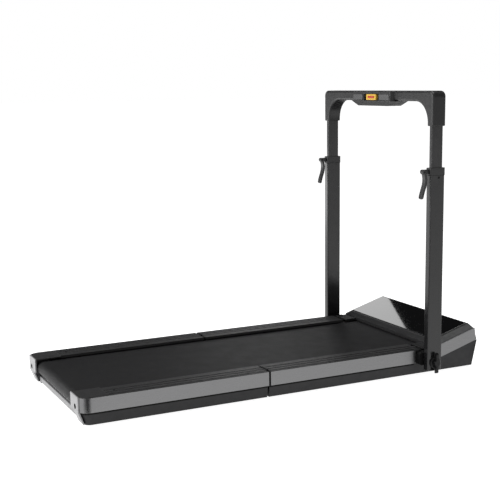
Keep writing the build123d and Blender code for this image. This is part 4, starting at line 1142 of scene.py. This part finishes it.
@dataclass
class Studio:
    """Pale floor, dark cards, soft lights and the camera at the photograph's place."""

    lens: float = 74.64
    sensor: float = 36.0
    clip: Spot = (0.05, 200.0)
    yaw: float = -26.07
    pitch: float = 9.132
    roll: float = -0.664
    location: Point = (-1.6586, -3.3537, 1.0673)
    floor_half: float = 60.0
    floor_finish: Matt = Matt("pale_floor", (0.5, 0.5, 0.5), spread=0.01, cloud=0.8, roughness=0.9,
                              glow=0.95)
    wall_dim: float = 0.012
    wall_light: float = 0.5
    wall_side: Point = (-0.65, -0.55, 0.4)
    wall_span: Spot = (-0.3, 0.75)
    near_card: tuple[Spot, ...] = ((-0.95, -0.42), (-2.9, -3.8), (-0.5, -3.8), (-0.73, -0.42))
    front_card: tuple[Spot, ...] = ((0.82, -0.4), (1.6, -0.4), (1.6, 1.8), (0.82, 1.8))
    card_lift: float = 0.002
    card_finish: Matt = Matt("card_felt", (0.01, 0.01, 0.01), spread=0.2, cloud=30.0, roughness=1.0)
    lights: tuple[SoftBox, ...] = (
        SoftBox("key", (-4.2, 1.6, 2.0), (0.2, 0.0, 0.5), (2.5, 2.5), 200.0),
        SoftBox("top", (0.3, 0.0, 4.0), (0.3, 0.0, 0.2), (3.2, 2.4), 85.0),
        SoftBox("back", (1.365, 2.6, 1.95), (1.365, 0.0, 1.95), (0.8, 2.5), 8.8),
        SoftBox("side", (-0.9, 3.2, 0.3), (0.3, 0.0, 0.4), (1.6, 0.5), 6.5),
        SoftBox("corner", (-3.0, -2.4, 0.45), (-0.75, -0.3, 0.1), (0.25, 0.9), 7.0),
    )

    def camera(self) -> None:
        """Make the camera."""
        yaw = math.radians(self.yaw)
        pitch = math.radians(self.pitch)
        roll = math.radians(self.roll)
        forward = Vector((-math.sin(yaw) * math.cos(pitch), math.cos(yaw) * math.cos(pitch),
                          -math.sin(pitch)))
        right = forward.cross(Vector((0.0, 0.0, 1.0))).normalized()
        up = right.cross(forward)
        across = math.cos(roll) * right + math.sin(roll) * up
        upward = math.cos(roll) * up - math.sin(roll) * right
        data = bpy.data.cameras.new("camera")
        data.lens = self.lens
        data.sensor_width = self.sensor
        data.clip_start, data.clip_end = self.clip
        camera = bpy.data.objects.new("camera", data)
        turn = Matrix((across, upward, -forward)).transposed().to_4x4()
        camera.matrix_world = Matrix.Translation(self.location) @ turn
        bpy.context.scene.collection.objects.link(camera)
        bpy.context.scene.camera = camera

    def floor(self) -> None:
        """Make the pale floor."""
        bm = bmesh.new()
        bmesh.ops.create_grid(bm, x_segments=1, y_segments=1, size=self.floor_half)
        floor = new_mesh("floor", bm)
        floor.data.materials.append(self.floor_finish.make())

    def dark_cards(self) -> None:
        """Lay the dark cards on the floor.

        They are seen only in reflections, where they draw rounded corners and undersides.
        """
        felt = self.card_finish.make()
        for name, outline in (("near_card", self.near_card), ("front_card", self.front_card)):
            bm = bmesh.new()
            bm.faces.new([bm.verts.new((x, y, self.card_lift)) for x, y in outline])
            card = new_mesh(name, bm)
            card.data.materials.append(felt)
            card.visible_camera = False
            card.visible_diffuse = False
            card.visible_shadow = False

    def world(self) -> None:
        """Make the surrounding studio: a white backdrop, and dim walls that are lighter at one side."""
        world = bpy.data.worlds.new("studio")
        world.use_nodes = True
        tree = world.node_tree
        bpy.context.scene.world = world
        place = tree.nodes.new("ShaderNodeTexCoord").outputs["Generated"]
        toward = tree.nodes.new("ShaderNodeVectorMath")
        toward.operation = "DOT_PRODUCT"
        toward.inputs[1].default_value = self.wall_side
        span = tree.nodes.new("ShaderNodeMapRange")
        span.inputs["From Min"].default_value, span.inputs["From Max"].default_value = self.wall_span
        span.inputs["To Min"].default_value = self.wall_dim
        span.inputs["To Max"].default_value = self.wall_light
        backdrop = tree.nodes.new("ShaderNodeBackground")
        walls = tree.nodes["Background"]
        ray = tree.nodes.new("ShaderNodeLightPath")
        mix = tree.nodes.new("ShaderNodeMixShader")
        tree.links.new(place, toward.inputs[0])
        tree.links.new(toward.outputs["Value"], span.inputs["Value"])
        tree.links.new(span.outputs["Result"], walls.inputs["Strength"])
        walls.inputs["Color"].default_value = WHITE
        backdrop.inputs["Color"].default_value = WHITE
        tree.links.new(ray.outputs["Is Camera Ray"], mix.inputs["Fac"])
        tree.links.new(walls.outputs["Background"], mix.inputs[1])
        tree.links.new(backdrop.outputs["Background"], mix.inputs[2])
        tree.links.new(mix.outputs["Shader"], tree.nodes["World Output"].inputs["Surface"])

    def build(self) -> None:
        """Set up the whole studio."""
        self.camera()
        self.floor()
        self.dark_cards()
        self.world()
        for light in self.lights:
            light.build()
        bpy.context.scene.view_settings.view_transform = "Standard"


def main() -> None:
    """Build the studio and the machine."""
    logging.basicConfig(level=logging.INFO, format="%(name)s: %(message)s")
    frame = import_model()
    palette = Palette(frame)
    Studio().build()
    RunningBelt().dress(palette)
    deck = Deck()
    rear_end = RearEnd()
    motor_bay = MotorBay()
    uprights = Uprights()
    handle = Handle()
    for part in (deck, rear_end, uprights, handle):
        part.build(palette)
    for part in (deck, rear_end, motor_bay, uprights, handle):
        part.dress(palette)


if __name__ == "__main__":
    main()
